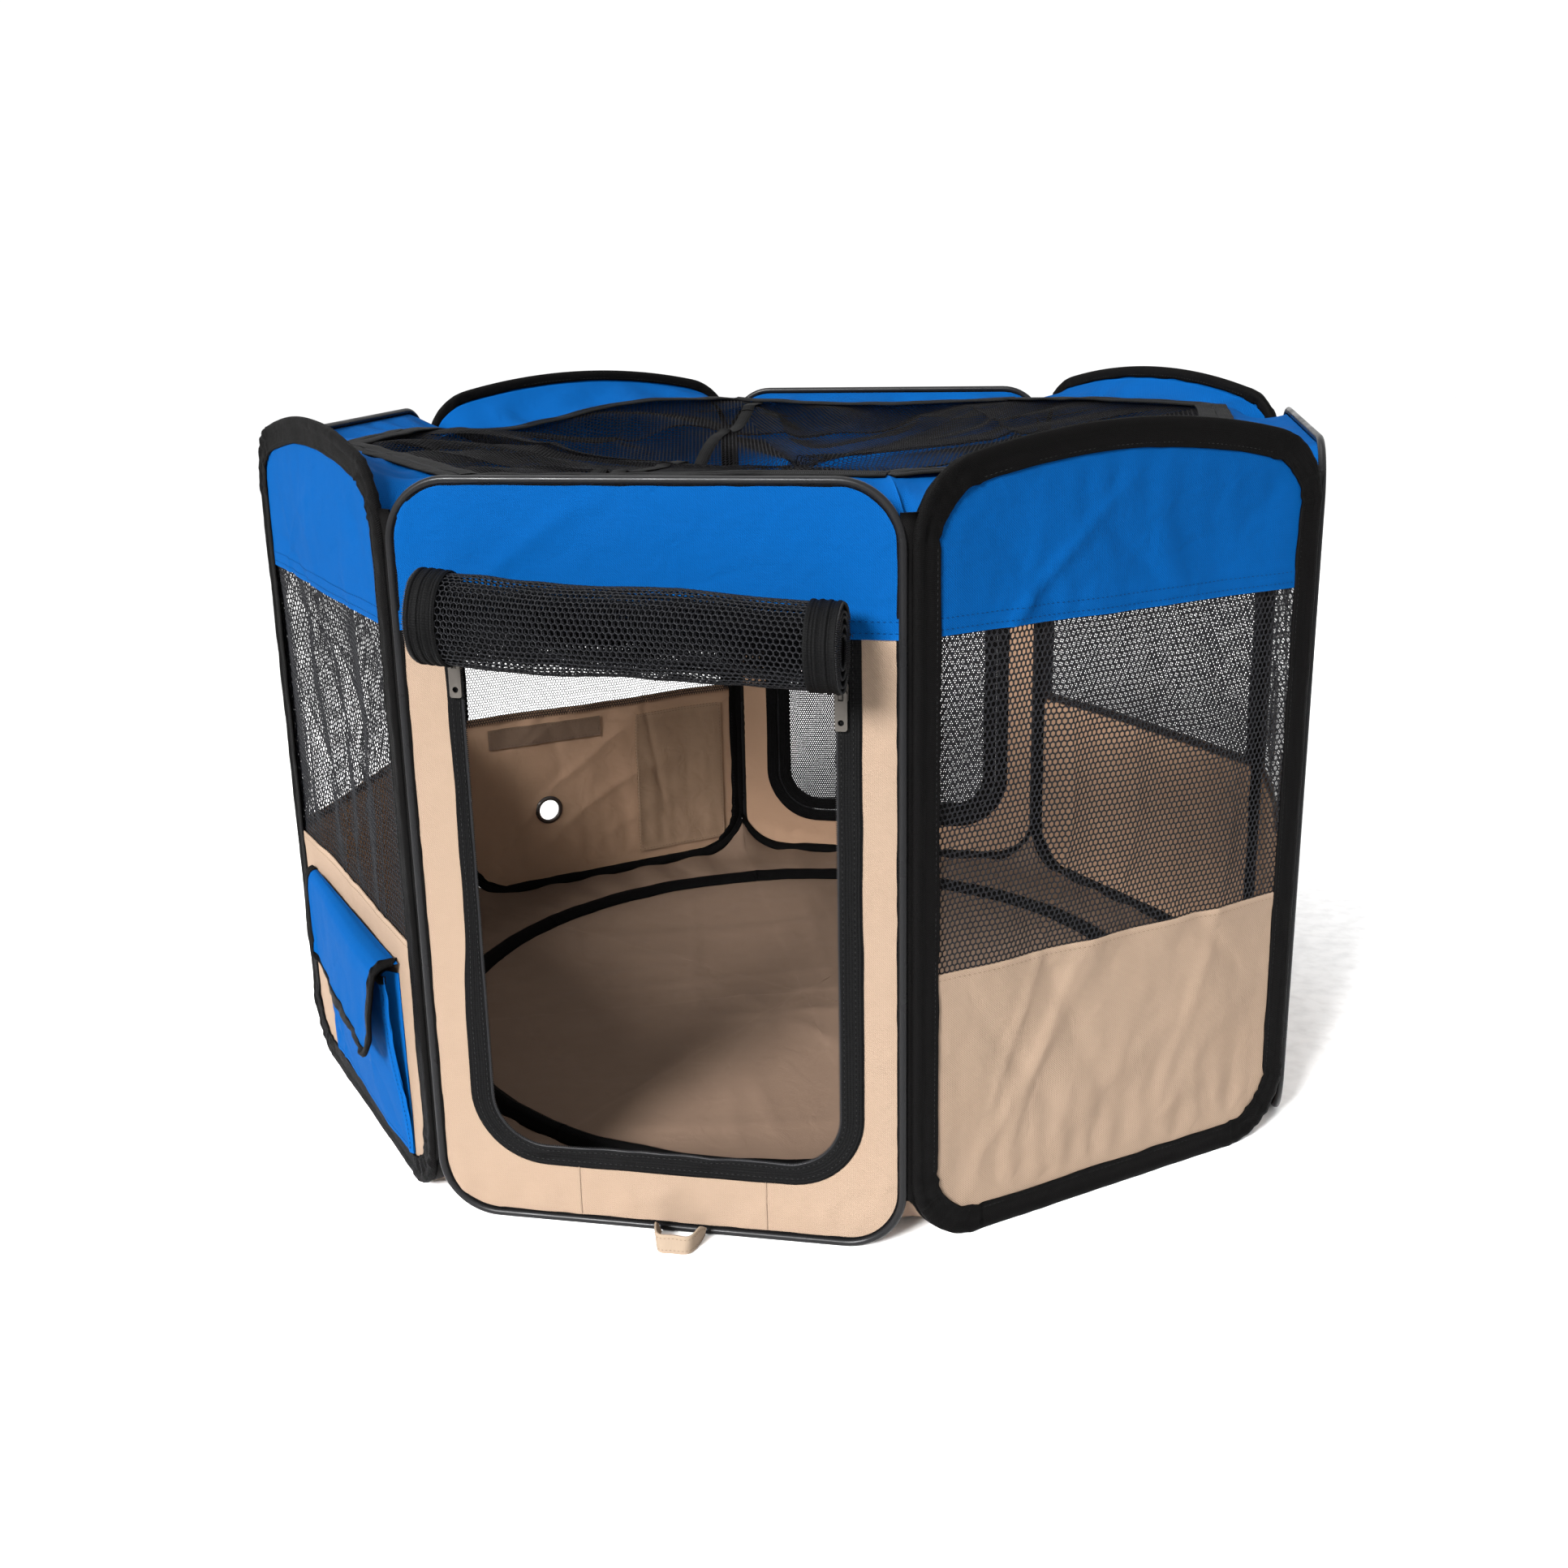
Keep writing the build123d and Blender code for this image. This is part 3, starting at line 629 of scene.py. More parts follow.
def slack(i, x, z):
    """How far the cloth of panel i stands out from its flat place."""
    x, z = np.asarray(x, float), np.asarray(z, float)
    inset = BINDING if is_bound(i) else PIPING
    top = wall_top(i, x)
    edge = np.minimum(np.minimum(HALF - inset - np.abs(x), z - inset), top - inset - z)
    near, far = smooth(edge / .022), smooth(edge / .075)
    s = 11 * i
    if is_bound(i):
        wave = .0050 * far * noise(x / .15 + i, z / .19, s + 1)
        phase = x / .0048 + 3 * noise(x / .07, z / .3, s + 2)
        wave += .0011 * near * np.exp(-(top - z) / .035) * np.sin(phase) * (.6 + .5 * noise(x / .06, 2., s + 3))
        wave += .0011 * near * np.exp(-z / .045) * np.sin(x / .0042 + 3 * noise(x / .05, z / .2, s + 4))
        wave += .0019 * far * folds(x, z, .95, .055, .30, s + 5)
        wave -= .0015 * far * folds(x, z, -.75, .060, .32, s + 6)
        wave += .0013 * far * folds(x, z, 1.45, .035, .30, s + 7)
    else:
        wave = .0022 * far * noise(x / .17 + i, z / .2, s + 1)
        wave += .0012 * near * folds(x, z, .6, .05, .25, s + 5)
        leg = smooth((np.abs(x) - .150) / .02) if i in (FRONT, BACK) else np.ones_like(x)
        wave += .0020 * near * folds(x, z, 1.05, .028, .16, s + 6) * leg
        wave += .0009 * near * np.exp(-z / .05) * np.sin(x / .006 + 3 * noise(x / .05, z / .2, s + 4))
    if i in (FRONT, BACK):
        half, low = (DOOR_HALF + .008, DOOR_LOW - .008) if i == FRONT else (BACK_HALF + .016, BACK_LOW - .016)
        dx, dz = np.abs(x) - half, low - z
        away = np.where(dz < 0, np.abs(dx), np.where(dx < 0, np.abs(dz), np.hypot(dx, dz)))
        wave *= lerp(.06, 1, smooth((away - .017) / .016))
    if i == LEFT_FRONT:
        wave *= lerp(.35, 1, smooth((z - .21) / .03))
    return wave * 1.5


def on_cloth(i, x, z, out=0.):
    """World points on the cloth of panel i."""
    return place(i, x, z, slack(i, x, z) + out)


def hem(z, level, up=1):
    """Raised double hem, 15 mm deep, above (up=1) or below a level."""
    deep = (z - level) * up
    return .0005 * smooth(1 - (deep - HEM) / .0012) * smooth(deep / .001 + 1)


EDGE = [panel_outline(i) for i in range(8)]


def cloth(i, name, loops, material, replaces, lift):
    """Cloth inside flat loops on panel i, raised by lift, a function of height. Beige cloth gets a warmer, lighter
    beige on its inner face: painted light, tuned to how the inside of the pen is lit.
    """
    flat, tris = fill(loops)
    x, z = flat.T
    out = slack(i, x, z) + lift(z)
    top, bottom = (place(i, x, z, out + side * THICK / 2) for side in (1, -1))
    obj = piece(slab(name, top, bottom, tris, flat), material, f"{NAMES[i]}_panel", replaces)
    if material is BEIGE:
        obj.data.materials.append(INSIDE_LIGHT_BEIGE)
        index = np.zeros(len(obj.data.polygons), int)
        index[len(tris):2 * len(tris)] = 1
        obj.data.polygons.foreach_set("material_index", index)
    return obj


def seam_row(name, i, half, z, thread):
    x = np.linspace(-half, half, 80)
    return sewn(name, on_cloth(i, x, np.full_like(x, z), .0016), OUT[i], thread,
                f"{NAMES[i]}_panel")


# ---- walls
SEAM, SELVEDGE = .008, .011  # window net behind the cloth above and below, and its woven side edges
for i, name in enumerate(NAMES):
    body = f"{name}_panel"
    inset = .0072 if is_bound(i) else PIPING - .002
    loop = EDGE[i][0] + EDGE[i][1] * inset
    reach = HALF - inset
    # blue upper band, with a double hem
    band = cloth(i, f"{name}_band", [clip(loop, BAND_LOW, 1)], BLUE, [f"{name}_upper_band"],
                 lambda z: .0003 + hem(z, BAND_LOW))
    rows = [seam_row(f"{name}_band_stitch_{k}", i, reach - .001, BAND_LOW + h, BLUE_THREAD)
            for k, h in enumerate((.0045, .0125))]
    # beige door surround, or lower wall with a net window above it
    if i in (FRONT, BACK):
        half, low, corner = ((DOOR_HALF + .006, DOOR_LOW - .006, DOOR_CORNER + .006) if i == FRONT else
                             (BACK_HALF + BACK_TAPE + .004, BACK_LOW - BACK_TAPE - .004, BACK_CORNER + BACK_TAPE))
        door, _ = u_path(half, low, corner, BAND_LOW + .002)
        lower = cloth(i, f"{name}_surround_cloth", [clip(loop, 0, BAND_LOW + .002), door], BEIGE,
                      [f"{name}_surround"], lambda z: -.0006)
        rows = []
        for k, x in enumerate((-.070, .078)):
            z = np.linspace(.008, low - .004, 14)
            line = sweep(f"{name}_surround_seam_{k}", on_cloth(i, np.full_like(z, x), z, -.0001), ALONG[i], OUT[i],
                         [(-.0007, 0), (0, .0009), (.0007, 0), (0, -.0009)])
            rows.append(piece(line, BEIGE, body))
    else:
        loops = [clip(loop, 0, WALL_HIGH)]
        if i == LEFT_BACK:
            a = np.linspace(0, 2 * np.pi, 40)[:-1]
            loops.append(np.stack([EYELET_X + EYELET_HOLE * np.cos(a), EYELET_Z + EYELET_HOLE * np.sin(a)], 1))
        lower = cloth(i, f"{name}_wall", loops, BEIGE, [f"{name}_lower_wall"],
                      lambda z: .0003 + hem(z, WALL_HIGH, -1))
        rows = [seam_row(f"{name}_wall_stitch", i, reach - .001, WALL_HIGH - .0045, BEIGE_THREAD)]

        def flutes(x, z):
            gather = smooth(np.minimum(z - WALL_HIGH, BAND_LOW - z) / .05 + .2)
            size = .0018 if i == LEFT_FRONT else .0012
            return size * gather * np.sin(x / .011 + 2.5 * noise(x / .08, z / .25, 7 * i)) - .0016

        strand, pitch = WINDOW_NET[name]
        window = net(f"{name}_window", (-reach, WALL_HIGH - SEAM), (reach, BAND_LOW + SEAM),
                     lambda p: on_cloth(i, *p.T, flutes(*p.T)), strand=NET_STRAND * strand, pitch=NET_PITCH * pitch)
        piece(window, NET, body, [f"{name}_net_window"])
        for k, x in enumerate((-reach, reach - SELVEDGE)):
            strip = net(f"{name}_window_selvedge_{k}", (x, WALL_HIGH - SEAM / 2), (x + SELVEDGE, BAND_LOW + SEAM / 2),
                        lambda p: on_cloth(i, *p.T, -.0030), pitch=NET_PITCH * SELVEDGE_PITCH)
            piece(strip, NET, body)
    # edge of the wall
    p, n = EDGE[i]
    side = in_world(i, n)
    centre = place(i, *p.T)
    turn = 1 / (1 + np.exp(-(np.abs(np.gradient(n, axis=0)).sum(1) - .03) * 200))[:, None]
    if is_bound(i):
        front = [(0, 0), (.0006, .0016), (.0024, .0026), (.0050, .0030), (.0076, .0025), (.0096, .0017),
                 (.0130, .0020), (.0170, .0020), (.0186, .0017), (.0200, .0021), (.0216, .0020), (.0222, .0006)]
        profile = front + [(.0214, .0006), (.0069, .0006), (.0069, -.0006), (.0106, -.0006), (.0112, -.0012),
                           (.0102, -.0020), (.0076, -.0025), (.0050, -.0030), (.0024, -.0026), (.0006, -.0016)]
        facing = np.sign([f for _, f in profile])

        def pucker(k, s):
            a = k / len(p) * 64
            body_wave = .0007 * noise(a * 1.5, s * 90, 40 + i) * smooth(s / .008)
            return body_wave + .0020 * turn * noise(a * 4, s * 60, 50 + i) * smooth(s / .010)

        def frill(k, s):
            a = k / len(p) * 64
            return facing * (.0005 * np.abs(noise(a * 2, s * 200, 60 + i))
                             + .0020 * turn * np.abs(noise(a * 5, s * 70, 70 + i))
                             + .0006 * np.abs(noise(a * .7, s * 10, 80 + i)))

        bind = sweep(f"{name}_binding_cloth", centre, side, OUT[i], profile, closed=True, width=pucker, lift=frill)
        piece(bind, BINDING_CLOTH, body, [f"{name}_binding"])
        for k, (deep, out) in enumerate(((.0186, .0022), (.0086, -.0026))):
            q = centre + side * deep + OUT[i] * out
            sewn(f"{name}_binding_stitch_{k}", np.vstack([q, q[:1]]), OUT[i], BLACK_THREAD, body)
    else:
        welt = sweep(f"{name}_welt", centre, side, OUT[i],
                     [(.0044, .0008), (.0058, .0011), (.0066, .0011), (.0072, .0006), (.0072, -.0008),
                      (.0058, -.0011), (.0044, -.0008)], closed=True,
                     width=lambda k, s: .0004 * noise(k / 3., s * 300, 90) * smooth((s - .005) / .002))
        piece(welt, BINDING_CLOTH, body)

# ---- zips of the two doors
TAPE_RIBS = [(0, .0007), (.0012, .0012), (.0030, .0009), (.0046, .0013), (.0062, .0009), (.0100, .0010),
             (.0118, .0013), (.0134, .0009), (.0176, .0010), (.0200, .0006)]


def zip_tape(i, name, half, low, corner, wide, body, replaces, sign=1):
    """Ribbed tape outside (sign 1) or inside a U-shaped edge, with its coil along that edge."""
    p, n = u_path(half, low, corner, BAND_LOW + .004)
    side = in_world(i, n) * sign
    centre = on_cloth(i, *p.T)
    scale = wide / DOOR_TAPE
    front = [(s * scale, f) for s, f in TAPE_RIBS]
    narrow = np.ones(len(p)) if i != FRONT else 1 - .34 * smooth((p[:, 1] - .16) / .10) * (p[:, 0] < 0)

    def follow(s):
        x, z = (p[:, k, None] + n[:, k, None] * s * sign for k in (0, 1))
        return slack(i, x, z) - slack(i, *p.T)[:, None]

    tape = sweep(name, centre, side, OUT[i], front + [(s, -f - .0011) for s, f in front[::-1]],
                 width=lambda k, s: .0005 * noise(k / 6., s * 50, 100 + i) - s * (1 - narrow[:, None]),
                 lift=lambda k, s: follow(s) + .0003 * noise(k / 9., s * 30, 110 + i))
    piece(tape, TAPE, body, replaces)
    cord = sweep(f"{name}_cord", centre - side * .0002, side, OUT[i],
                 [(.0009 * math.cos(a), .0010 * math.sin(a)) for a in np.linspace(0, 6.283, 9)[:-1]])
    piece(cord, COIL, body)
    c, t = walk(centre - side * .0010, TOOTH_PITCH)
    teeth = beads(f"{name}_teeth", c, t, np.cross(OUT[i], t), OUT[i], (.00062, .0014, .0012))
    piece(teeth, COIL, body)
    for k, at in enumerate((.0030, .0134)):
        deep = at * scale * narrow[:, None]
        q = centre + side * deep + OUT[i] * (follow(deep) + .0013)
        sewn(f"{name}_stitch_{k}", q, OUT[i], BLACK_THREAD, body)


zip_tape(FRONT, "front_zip_tape_woven", DOOR_HALF, DOOR_LOW, DOOR_CORNER, DOOR_TAPE * .84, "front_panel",
         ["front_zip_tape"])
TAPE_GAP = BACK_TAPE + .0024
zip_tape(BACK, "back_zip_tape_woven", BACK_HALF + TAPE_GAP, BACK_LOW - TAPE_GAP, BACK_CORNER + TAPE_GAP, .0135,
         "back_panel", ["back_zip_tape"])
zip_tape(BACK, "back_door_tape_woven", BACK_HALF + BACK_TAPE, BACK_LOW - BACK_TAPE, BACK_CORNER + BACK_TAPE,
         .0138, "back_door", ["back_door_tape"], sign=-1)

door_edge, _ = u_path(BACK_HALF + .004, BACK_LOW - .004, BACK_CORNER + .004, BAND_LOW - .003)


def hang_door(p):
    x, z = p.T
    return on_cloth(BACK, x, z, .0012 * np.sin(x / .02 + 3 * noise(x / .1, z / .2, 3)))


back_net = net("back_door_mesh", (-BACK_HALF - .004, BACK_LOW - .004), (BACK_HALF + .004, BAND_LOW - .003), hang_door,
               keep=lambda p: inside(p, [door_edge]), strand=NET_STRAND * DOOR_NET[0], pitch=NET_PITCH * DOOR_NET[1])
piece(back_net, NET, "back_door", ["back_door_net"])

# ---- rolled front door
def roll_section(turns=4.6, end=math.radians(150)):
    """Cross-section of the roll from its core to the hem, as (out, up) about its middle."""
    a = np.linspace(end - turns * 2 * math.pi, end, 360)
    share = np.linspace(0, 1, 360)
    r = ROLL_CORE * .6 + (ROLL_RADIUS - ROLL_CORE * .6) * share ** .75
    core = np.stack([r * np.cos(a), r * np.sin(a)], 1)
    hem_at = np.array((-ROLL_OUT + .0030, BAND_LOW - ROLL_Z + .003))
    tail = lerp(core[-1], hem_at, np.linspace(0, 1, 8)[1:, None])
    return np.vstack([core, tail])


SECTION = roll_section()
SECTION_RUN = run_of(SECTION)
ROLL_TAPE = .021


def on_roll(x, s, out=0.):
    """World points of the rolled net: x across the door, s along the cloth from the core of the roll."""
    o, u = (np.interp(s, SECTION_RUN, SECTION[:, k]) for k in (0, 1))
    rolled = smooth((SECTION_RUN[-1] - s) / .012)
    share = (x - ROLL_LEFT) / (ROLL_RIGHT - ROLL_LEFT)
    size = lerp(1.0, .94, share) + .035 * noise(x / .05, s / .03, 21) + .02 * noise(x / .02, s / .012, 22)
    size = size + .025 * np.cos(x / .021 + s / .05) * smooth(s / .1)
    size = lerp(1., size, rolled)
    r = np.hypot(o, u) + 1e-9
    o, u = o * size + o / r * out, u * size + u / r * out
    drop = lerp(ROLL_DROP / 2, -ROLL_DROP / 2, share) + .0012 * np.sin(x / .045)
    return place(FRONT, x, ROLL_Z + u + drop * rolled, ROLL_OUT + np.minimum(o, .0325) + .0008)


door_cloth = net("front_door_net_rolled", (ROLL_LEFT + .017, 0), (ROLL_RIGHT - .017, SECTION_RUN[-1]),
                 lambda p: on_roll(*p.T), strand=ROLL_STRAND)
piece(door_cloth, NET, "front_panel", ["front_door_roll"])
for k, (x0, edge_x) in enumerate(((ROLL_LEFT, ROLL_LEFT - .0005), (ROLL_RIGHT - ROLL_TAPE, ROLL_RIGHT + .0005))):
    s, x = grids(np.linspace(0, SECTION_RUN[-1], 330), np.linspace(x0, x0 + ROLL_TAPE, 29))
    rib = .0008 * (np.sin((x - x0) / ROLL_TAPE * 2 * math.pi * 3.5) > .2)
    tape = surface(f"front_door_roll_tape_{k}", on_roll(x, s, .0008 + rib), .0013, np.stack([s, x], 2))
    piece(tape, TAPE, "front_panel")
    c, t = walk(on_roll(edge_x, np.linspace(.02, SECTION_RUN[-1] - .02, 700), .0008), TOOTH_PITCH)
    teeth = beads(f"front_door_roll_teeth_{k}", c, t, ALONG[FRONT], np.cross(t, ALONG[FRONT]), (.0006, .0015, .0011))
    piece(teeth, COIL, "front_panel")
s, x = grids(np.linspace(0, .016, 12), np.linspace(ROLL_LEFT + .02, ROLL_RIGHT - .02, 90))
lip = surface("front_door_roll_core_tape", on_roll(x, s), .0012)
piece(lip, TAPE, "front_panel")

for k, (x0, low, high) in enumerate(((-.084, .457, .498), (.098, .443, .484))):
    v, u = grids(np.linspace(0, 1, 26), np.linspace(-.009, .009, 9))
    out = .0018 + .0012 * smooth(v * 3) + .0012 * smooth((v - .85) / .15) + .0004 * noise(u * 200, v * 9, 5 + k)
    tie = surface(f"front_roll_tie_{k}", place(FRONT, x0 + u + .002 * v ** 2, lerp(low, high, v), out), .0012)
    piece(tie, BINDING_CLOTH, "front_panel", ["front_roll_ties"])

# ---- pocket
def pouch_point(x_share, v):
    """x_share runs from -1.5 to 1.5: past 1 is the folded side gusset. v runs up the pocket."""
    z = lerp(POCKET_LOW + .009, POCKET_HIGH - .002, v)
    deep = lerp(.006, .0245, smooth(v * 1.15)) + .003 * np.sin(math.pi * np.clip(v, 0, 1))
    deep = deep * lerp(.14, .62, smooth((x_share + 1.15) / 1.9))
    a = np.abs(x_share)
    sign = np.sign(x_share)
    fold = np.clip((a - 1) / .5, 0, 1)
    x_front = np.where(x_share < 0, POCKET_HALF - .020, POCKET_HALF) * np.minimum(a, 1)
    tuck = np.interp(fold, (0, .25, .5, .75, 1), (0, .0095, .0125, .0085, .0015))
    out = np.where(a <= 1, deep, deep * (1 - fold))
    round_in = (np.clip((a - .97) / .03, 0, 1)) ** 2 * .003 * (a <= 1)
    bulge = (.0035 * np.sin(math.pi * np.clip(v, 0, 1)) * (1 - np.minimum(a, 1) ** 2)
             + .0014 * noise(x_share * 3, v * 2.2, 31) + .0016 * folds(x_share * .13, z, 1.2, .03, .15, 33)
             - .0010 * folds(x_share * .13, z, -.5, .035, .15, 35)) * (a <= 1)
    x = sign * (x_front - tuck)
    z = z + .0012 * noise(x_share * 4, v * 3, 36) * smooth(v * 4)
    sag = -.004 * smooth((v - .8) / .2) * (1 - np.minimum(a, 1) ** 2)
    return place(LEFT_FRONT, x, z + sag, .0012 + np.maximum(out - round_in + bulge, 0))


u, v = grids(np.r_[np.linspace(-1.5, -1, 10)[:-1], np.linspace(-1, 1, 70), np.linspace(1, 1.5, 10)[1:]],
             np.linspace(0, 1, 46))
pouch = surface("pocket_cloth", pouch_point(u, v), .0010)
piece(pouch, BLUE, "left_front_panel", ["pocket_pouch"])
rim = sweep("pocket_top_binding", pouch_point(np.linspace(-1, 1, 90), np.full(90, 1.)), UP, OUT[LEFT_FRONT],
            [(-.006, .0012), (.0006, .0014), (.0012, 0), (.0006, -.0014), (-.006, -.0012)])
pouch_trim = [piece(rim, BINDING_CLOTH, "left_front_panel")]
up_side = np.linspace(.02, .98, 60)
for seam, u, v in (("side_stitch_0", np.full(60, -.985), up_side), ("side_stitch_1", np.full(60, .985), up_side),
                   ("foot_stitch", np.linspace(-1, 1, 90), np.full(90, .025))):
    pouch_trim.append(sewn(f"pocket_{seam}", pouch_point(u, v) + OUT[LEFT_FRONT] * .0006, OUT[LEFT_FRONT],
                           BLUE_THREAD, "left_front_panel"))

FLAP_LINE = np.array([(.0026, FLAP_SEAM), (.010, FLAP_SEAM + .0005), (.020, FLAP_SEAM - .001),
                      (.0275, FLAP_SEAM - .006), (.0305, FLAP_SEAM - .016), (.0310, FLAP_SEAM - .030),
                      (.0320, FLAP_LOW + .020), (.0345, FLAP_LOW)])
FLAP_RUN = run_of(FLAP_LINE)


def flap_point(u, v):
    """u from -1 to 1 across, v from the seam down to the free edge."""
    s = v * FLAP_RUN[-1]
    o, z = (np.interp(s, FLAP_RUN, FLAP_LINE[:, k]) for k in (0, 1))
    drop = np.clip((v - .72) / .28, 0, 1)
    half = FLAP_HALF - .022 * (1 - np.sqrt(np.clip(1 - drop ** 2.4, 0, 1)))
    sag = .006 * smooth(v * 1.4) * np.cos(u * 1.5) + .003 * noise(u * 1.7, v * .8, 41) * v
    wavy = .0030 * smooth((v - .3) / .5) * noise(u * 4.5, v * 1.2, 42) + .0012 * noise(u * 9, v * 4, 43) * v
    lift = .004 * smooth((np.abs(u) - .7) / .3) * smooth(v * 1.5)
    o = o * lerp(.26, .78, smooth((u + 1.15) / 1.9)) + .0012
    return place(LEFT_FRONT, u * half, z - sag, o + wavy + lift * v)


u, v = grids(np.linspace(-1, 1, 72), np.linspace(0, 1, 40))
flap = surface("pocket_flap_cloth", flap_point(u, v), .0012)
piece(flap, BLUE, "pocket_flap", ["pocket_flap"])
rim_u = np.r_[np.full(40, -1.), np.linspace(-1, 1, 90)[1:-1], np.full(40, 1.)]
rim_v = np.r_[np.linspace(.04, 1, 40), np.full(88, 1.), np.linspace(1, .04, 40)]
rim = flap_point(rim_u, rim_v)
inward = unit(flap_point(rim_u * .97, rim_v - .03) - rim)
face = unit(np.cross(np.gradient(rim, axis=0), inward))
flap_edge = sweep("pocket_flap_binding", rim, inward, face,
                  [(-.0014, 0), (-.0004, .0017), (.005, .0014), (.0102, .0015), (.0106, 0), (.0102, -.0015),
                   (.005, -.0014), (-.0004, -.0017)],
                  width=lambda k, s: .0008 * noise(k / 5., s * 100, 44),
                  lift=lambda k, s: .0005 * noise(k / 4., s * 80, 45))
piece(flap_edge, BINDING_CLOTH, "pocket_flap")
line = flap_point(np.linspace(-.97, .97, 90), np.full(90, .05)) + UP * .0006 + OUT[LEFT_FRONT] * .0003
seam = sewn("pocket_flap_seam", line, UP, BLUE_THREAD, "pocket_flap")

# ---- fittings on the walls
a = np.linspace(0, 2 * np.pi, 49)[:-1]
radial = np.cos(a)[:, None] * ALONG[LEFT_BACK] + np.sin(a)[:, None] * UP
eyelet = sweep("wall_eyelet_rolled", np.broadcast_to(place(LEFT_BACK, EYELET_X, EYELET_Z, 0.), (48, 3)), radial,
               OUT[LEFT_BACK],
               tube_profile([(.0121, .0010), (.0126, .0018), (.0138, .0022), (.0154, .0019), (.0166, .0012),
                             (.0170, .0006), (.0131, .0006)]), closed=True)
piece(eyelet, EYELET, "left_back_panel", ["wall_eyelet"])


def patch_and_painted_shadow(name, x0, x1, z0, z1, out, material, thick=.0007):
    """Sheet on the left-back wall, with its stitches: the sewn outer pocket, and the inside sheets of painted shadow
    where the outside strap and pocket show through.
    """
    body, margin, sign = "left_back_panel", .0025, 1 if out > 0 else -1
    v, u = grids(np.linspace(z0, z1, 20), np.linspace(x0, x1, 46))
    grid = on_cloth(LEFT_BACK, u, v, out + .0003 * noise(u / .02, v / .02, 61))
    obj = piece(surface(name, grid, thick, np.stack([u, v], 2)), material, body)
    x0, x1, z0, z1 = x0 + margin, x1 - margin, z0 + margin, z1 - margin
    seam, _ = walk([(x0, z0), (x1, z0), (x1, z1), (x0, z1), (x0, z0)], .004)
    row = sewn(f"{name}_stitch", on_cloth(LEFT_BACK, *seam.T, out + sign * .0006), OUT[LEFT_BACK] * sign,
               BEIGE_THREAD, body)


FLAT_POCKET = -.162, -.045, .022, .198
# painted shadow: a brown band inside the wall where the outside strap shows through
patch_and_painted_shadow("left_back_strap_painted_shadow", .002, .142, .180, .204, -.0017, STRAP_SHADOW_BROWN)
# painted shadow: a darker sheet inside the wall where the outer pocket shows through
patch_and_painted_shadow("left_back_pocket_painted_shadow", *FLAT_POCKET, -.0017, POCKET_SHADOW_BEIGE)
patch_and_painted_shadow("left_back_outer_pocket", *FLAT_POCKET, .0030, BEIGE, .0012)
x0, x1, z0, z1 = FLAT_POCKET
q, _ = walk([(x0, z0), (x0, z1), (x1, z1), (x1, z0), (x0, z0)], STITCH_PITCH)
sewn("left_back_outer_pocket_line", on_cloth(LEFT_BACK, *q.T, -.0006), -OUT[LEFT_BACK], BEIGE_THREAD,
     "left_back_panel")
# stake loop: a strap on edge, wider at the wall
s = np.linspace(0, 1, 60)
line = np.array([(-.018, .0030), (-.0175, .010), (-.0150, .020), (-.0125, .0255), (-.0085, .0268), (0, .0262),
                 (.0095, .0270), (.0130, .0258), (.0152, .0200), (.0176, .0100), (.0180, .0030)])
run = run_of(line)
across, off = (np.convolve(np.pad(np.interp(s * run[-1], run, c), 3, mode="edge"), np.ones(7) / 7, "valid")[:, None]
               for c in line.T)
u, v = grids(s, np.linspace(0, 1, 12))
high = .0008 + .0155 * v * (.35 + .65 * smooth(off / .016)) + .0006 * noise(u * 6, v, 71)
off = off * (1.26 - .06 * v) + .0012 * noise(u * 4, v * 1.5, 72)
grid = place(FRONT, LOOP_X + across * (.96 + .10 * v), high, off)
strap = piece(surface("ground_loop_strap", grid, .0013), LOOP_CLOTH, "ground_loop", ["ground_loop"])
rows = []
for k, h in enumerate((2, 9)):
    face = unit(np.cross(np.gradient(grid[:, h], axis=0), UP))
    c, t = walk(grid[:, h] + face * .0008, .0032)
    row = beads(f"ground_loop_stitch_{k}", c, t, UP, np.cross(t, UP), (.0011, .0003, .0003))
    rows.append(piece(row, BEIGE_THREAD, "ground_loop"))

# ---- floor
FLOOR_CORNER = inset_ring(FLOOR_INSET)
# creases out from the middle: direction and height
STAR = ((.35, .0034), (1.3, .0026), (2.5, .0030), (3.5, .0024), (4.55, .0032), (5.6, .0026))


def corner_rise(x, y):
    """The cloth's edge follows the hoops' rounded lower corners up to the hinges."""
    away = np.min([np.hypot(x - c[0], y - c[1]) for c in FLOOR_CORNER], axis=0)
    r = .054
    t = np.clip(away, .0025, r)
    return r - np.sqrt(r ** 2 - (r - t) ** 2)


def floor_height(x, y):
    """Height of the floor cloth: it lies flat with soft creases out from its middle."""
    near, a = np.hypot(x + .015, y + .055), np.arctan2(y + .055, x + .015)
    star = np.zeros_like(near)
    for way, size in STAR:
        off = np.abs((a - way + math.pi) % (2 * math.pi) - math.pi) * near
        star += 1.6 * size * np.exp(-off / (.012 + .11 * near)) * np.exp(-near / .15) * smooth(near / .05 + .15)
    r, a = np.hypot(x, y), np.arctan2(y, x)
    lumps = (.0014 * (noise(x / .09, y / .09, 81) + 1) + .0012 * folds(x, y, .4, .05, .3, 82)
             + .0012 * folds(x, y, 2.0, .045, .3, 84))
    quiet = 1 - np.exp(-((r - FLOOR_RING) / .025) ** 2)
    skirt = .0028 * smooth((r - FLOOR_RING) / .03) * (1 + np.sin(a * 46 + 3 * noise(a * 3, r, 86))) * .5
    return FLOOR_TOP + (star + lumps) * smooth((.42 - r) / .05) * quiet + skirt + corner_rise(x, y)


def fold_flat(obj):
    """Gives the piece its own copy of its mesh."""
    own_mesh(obj)


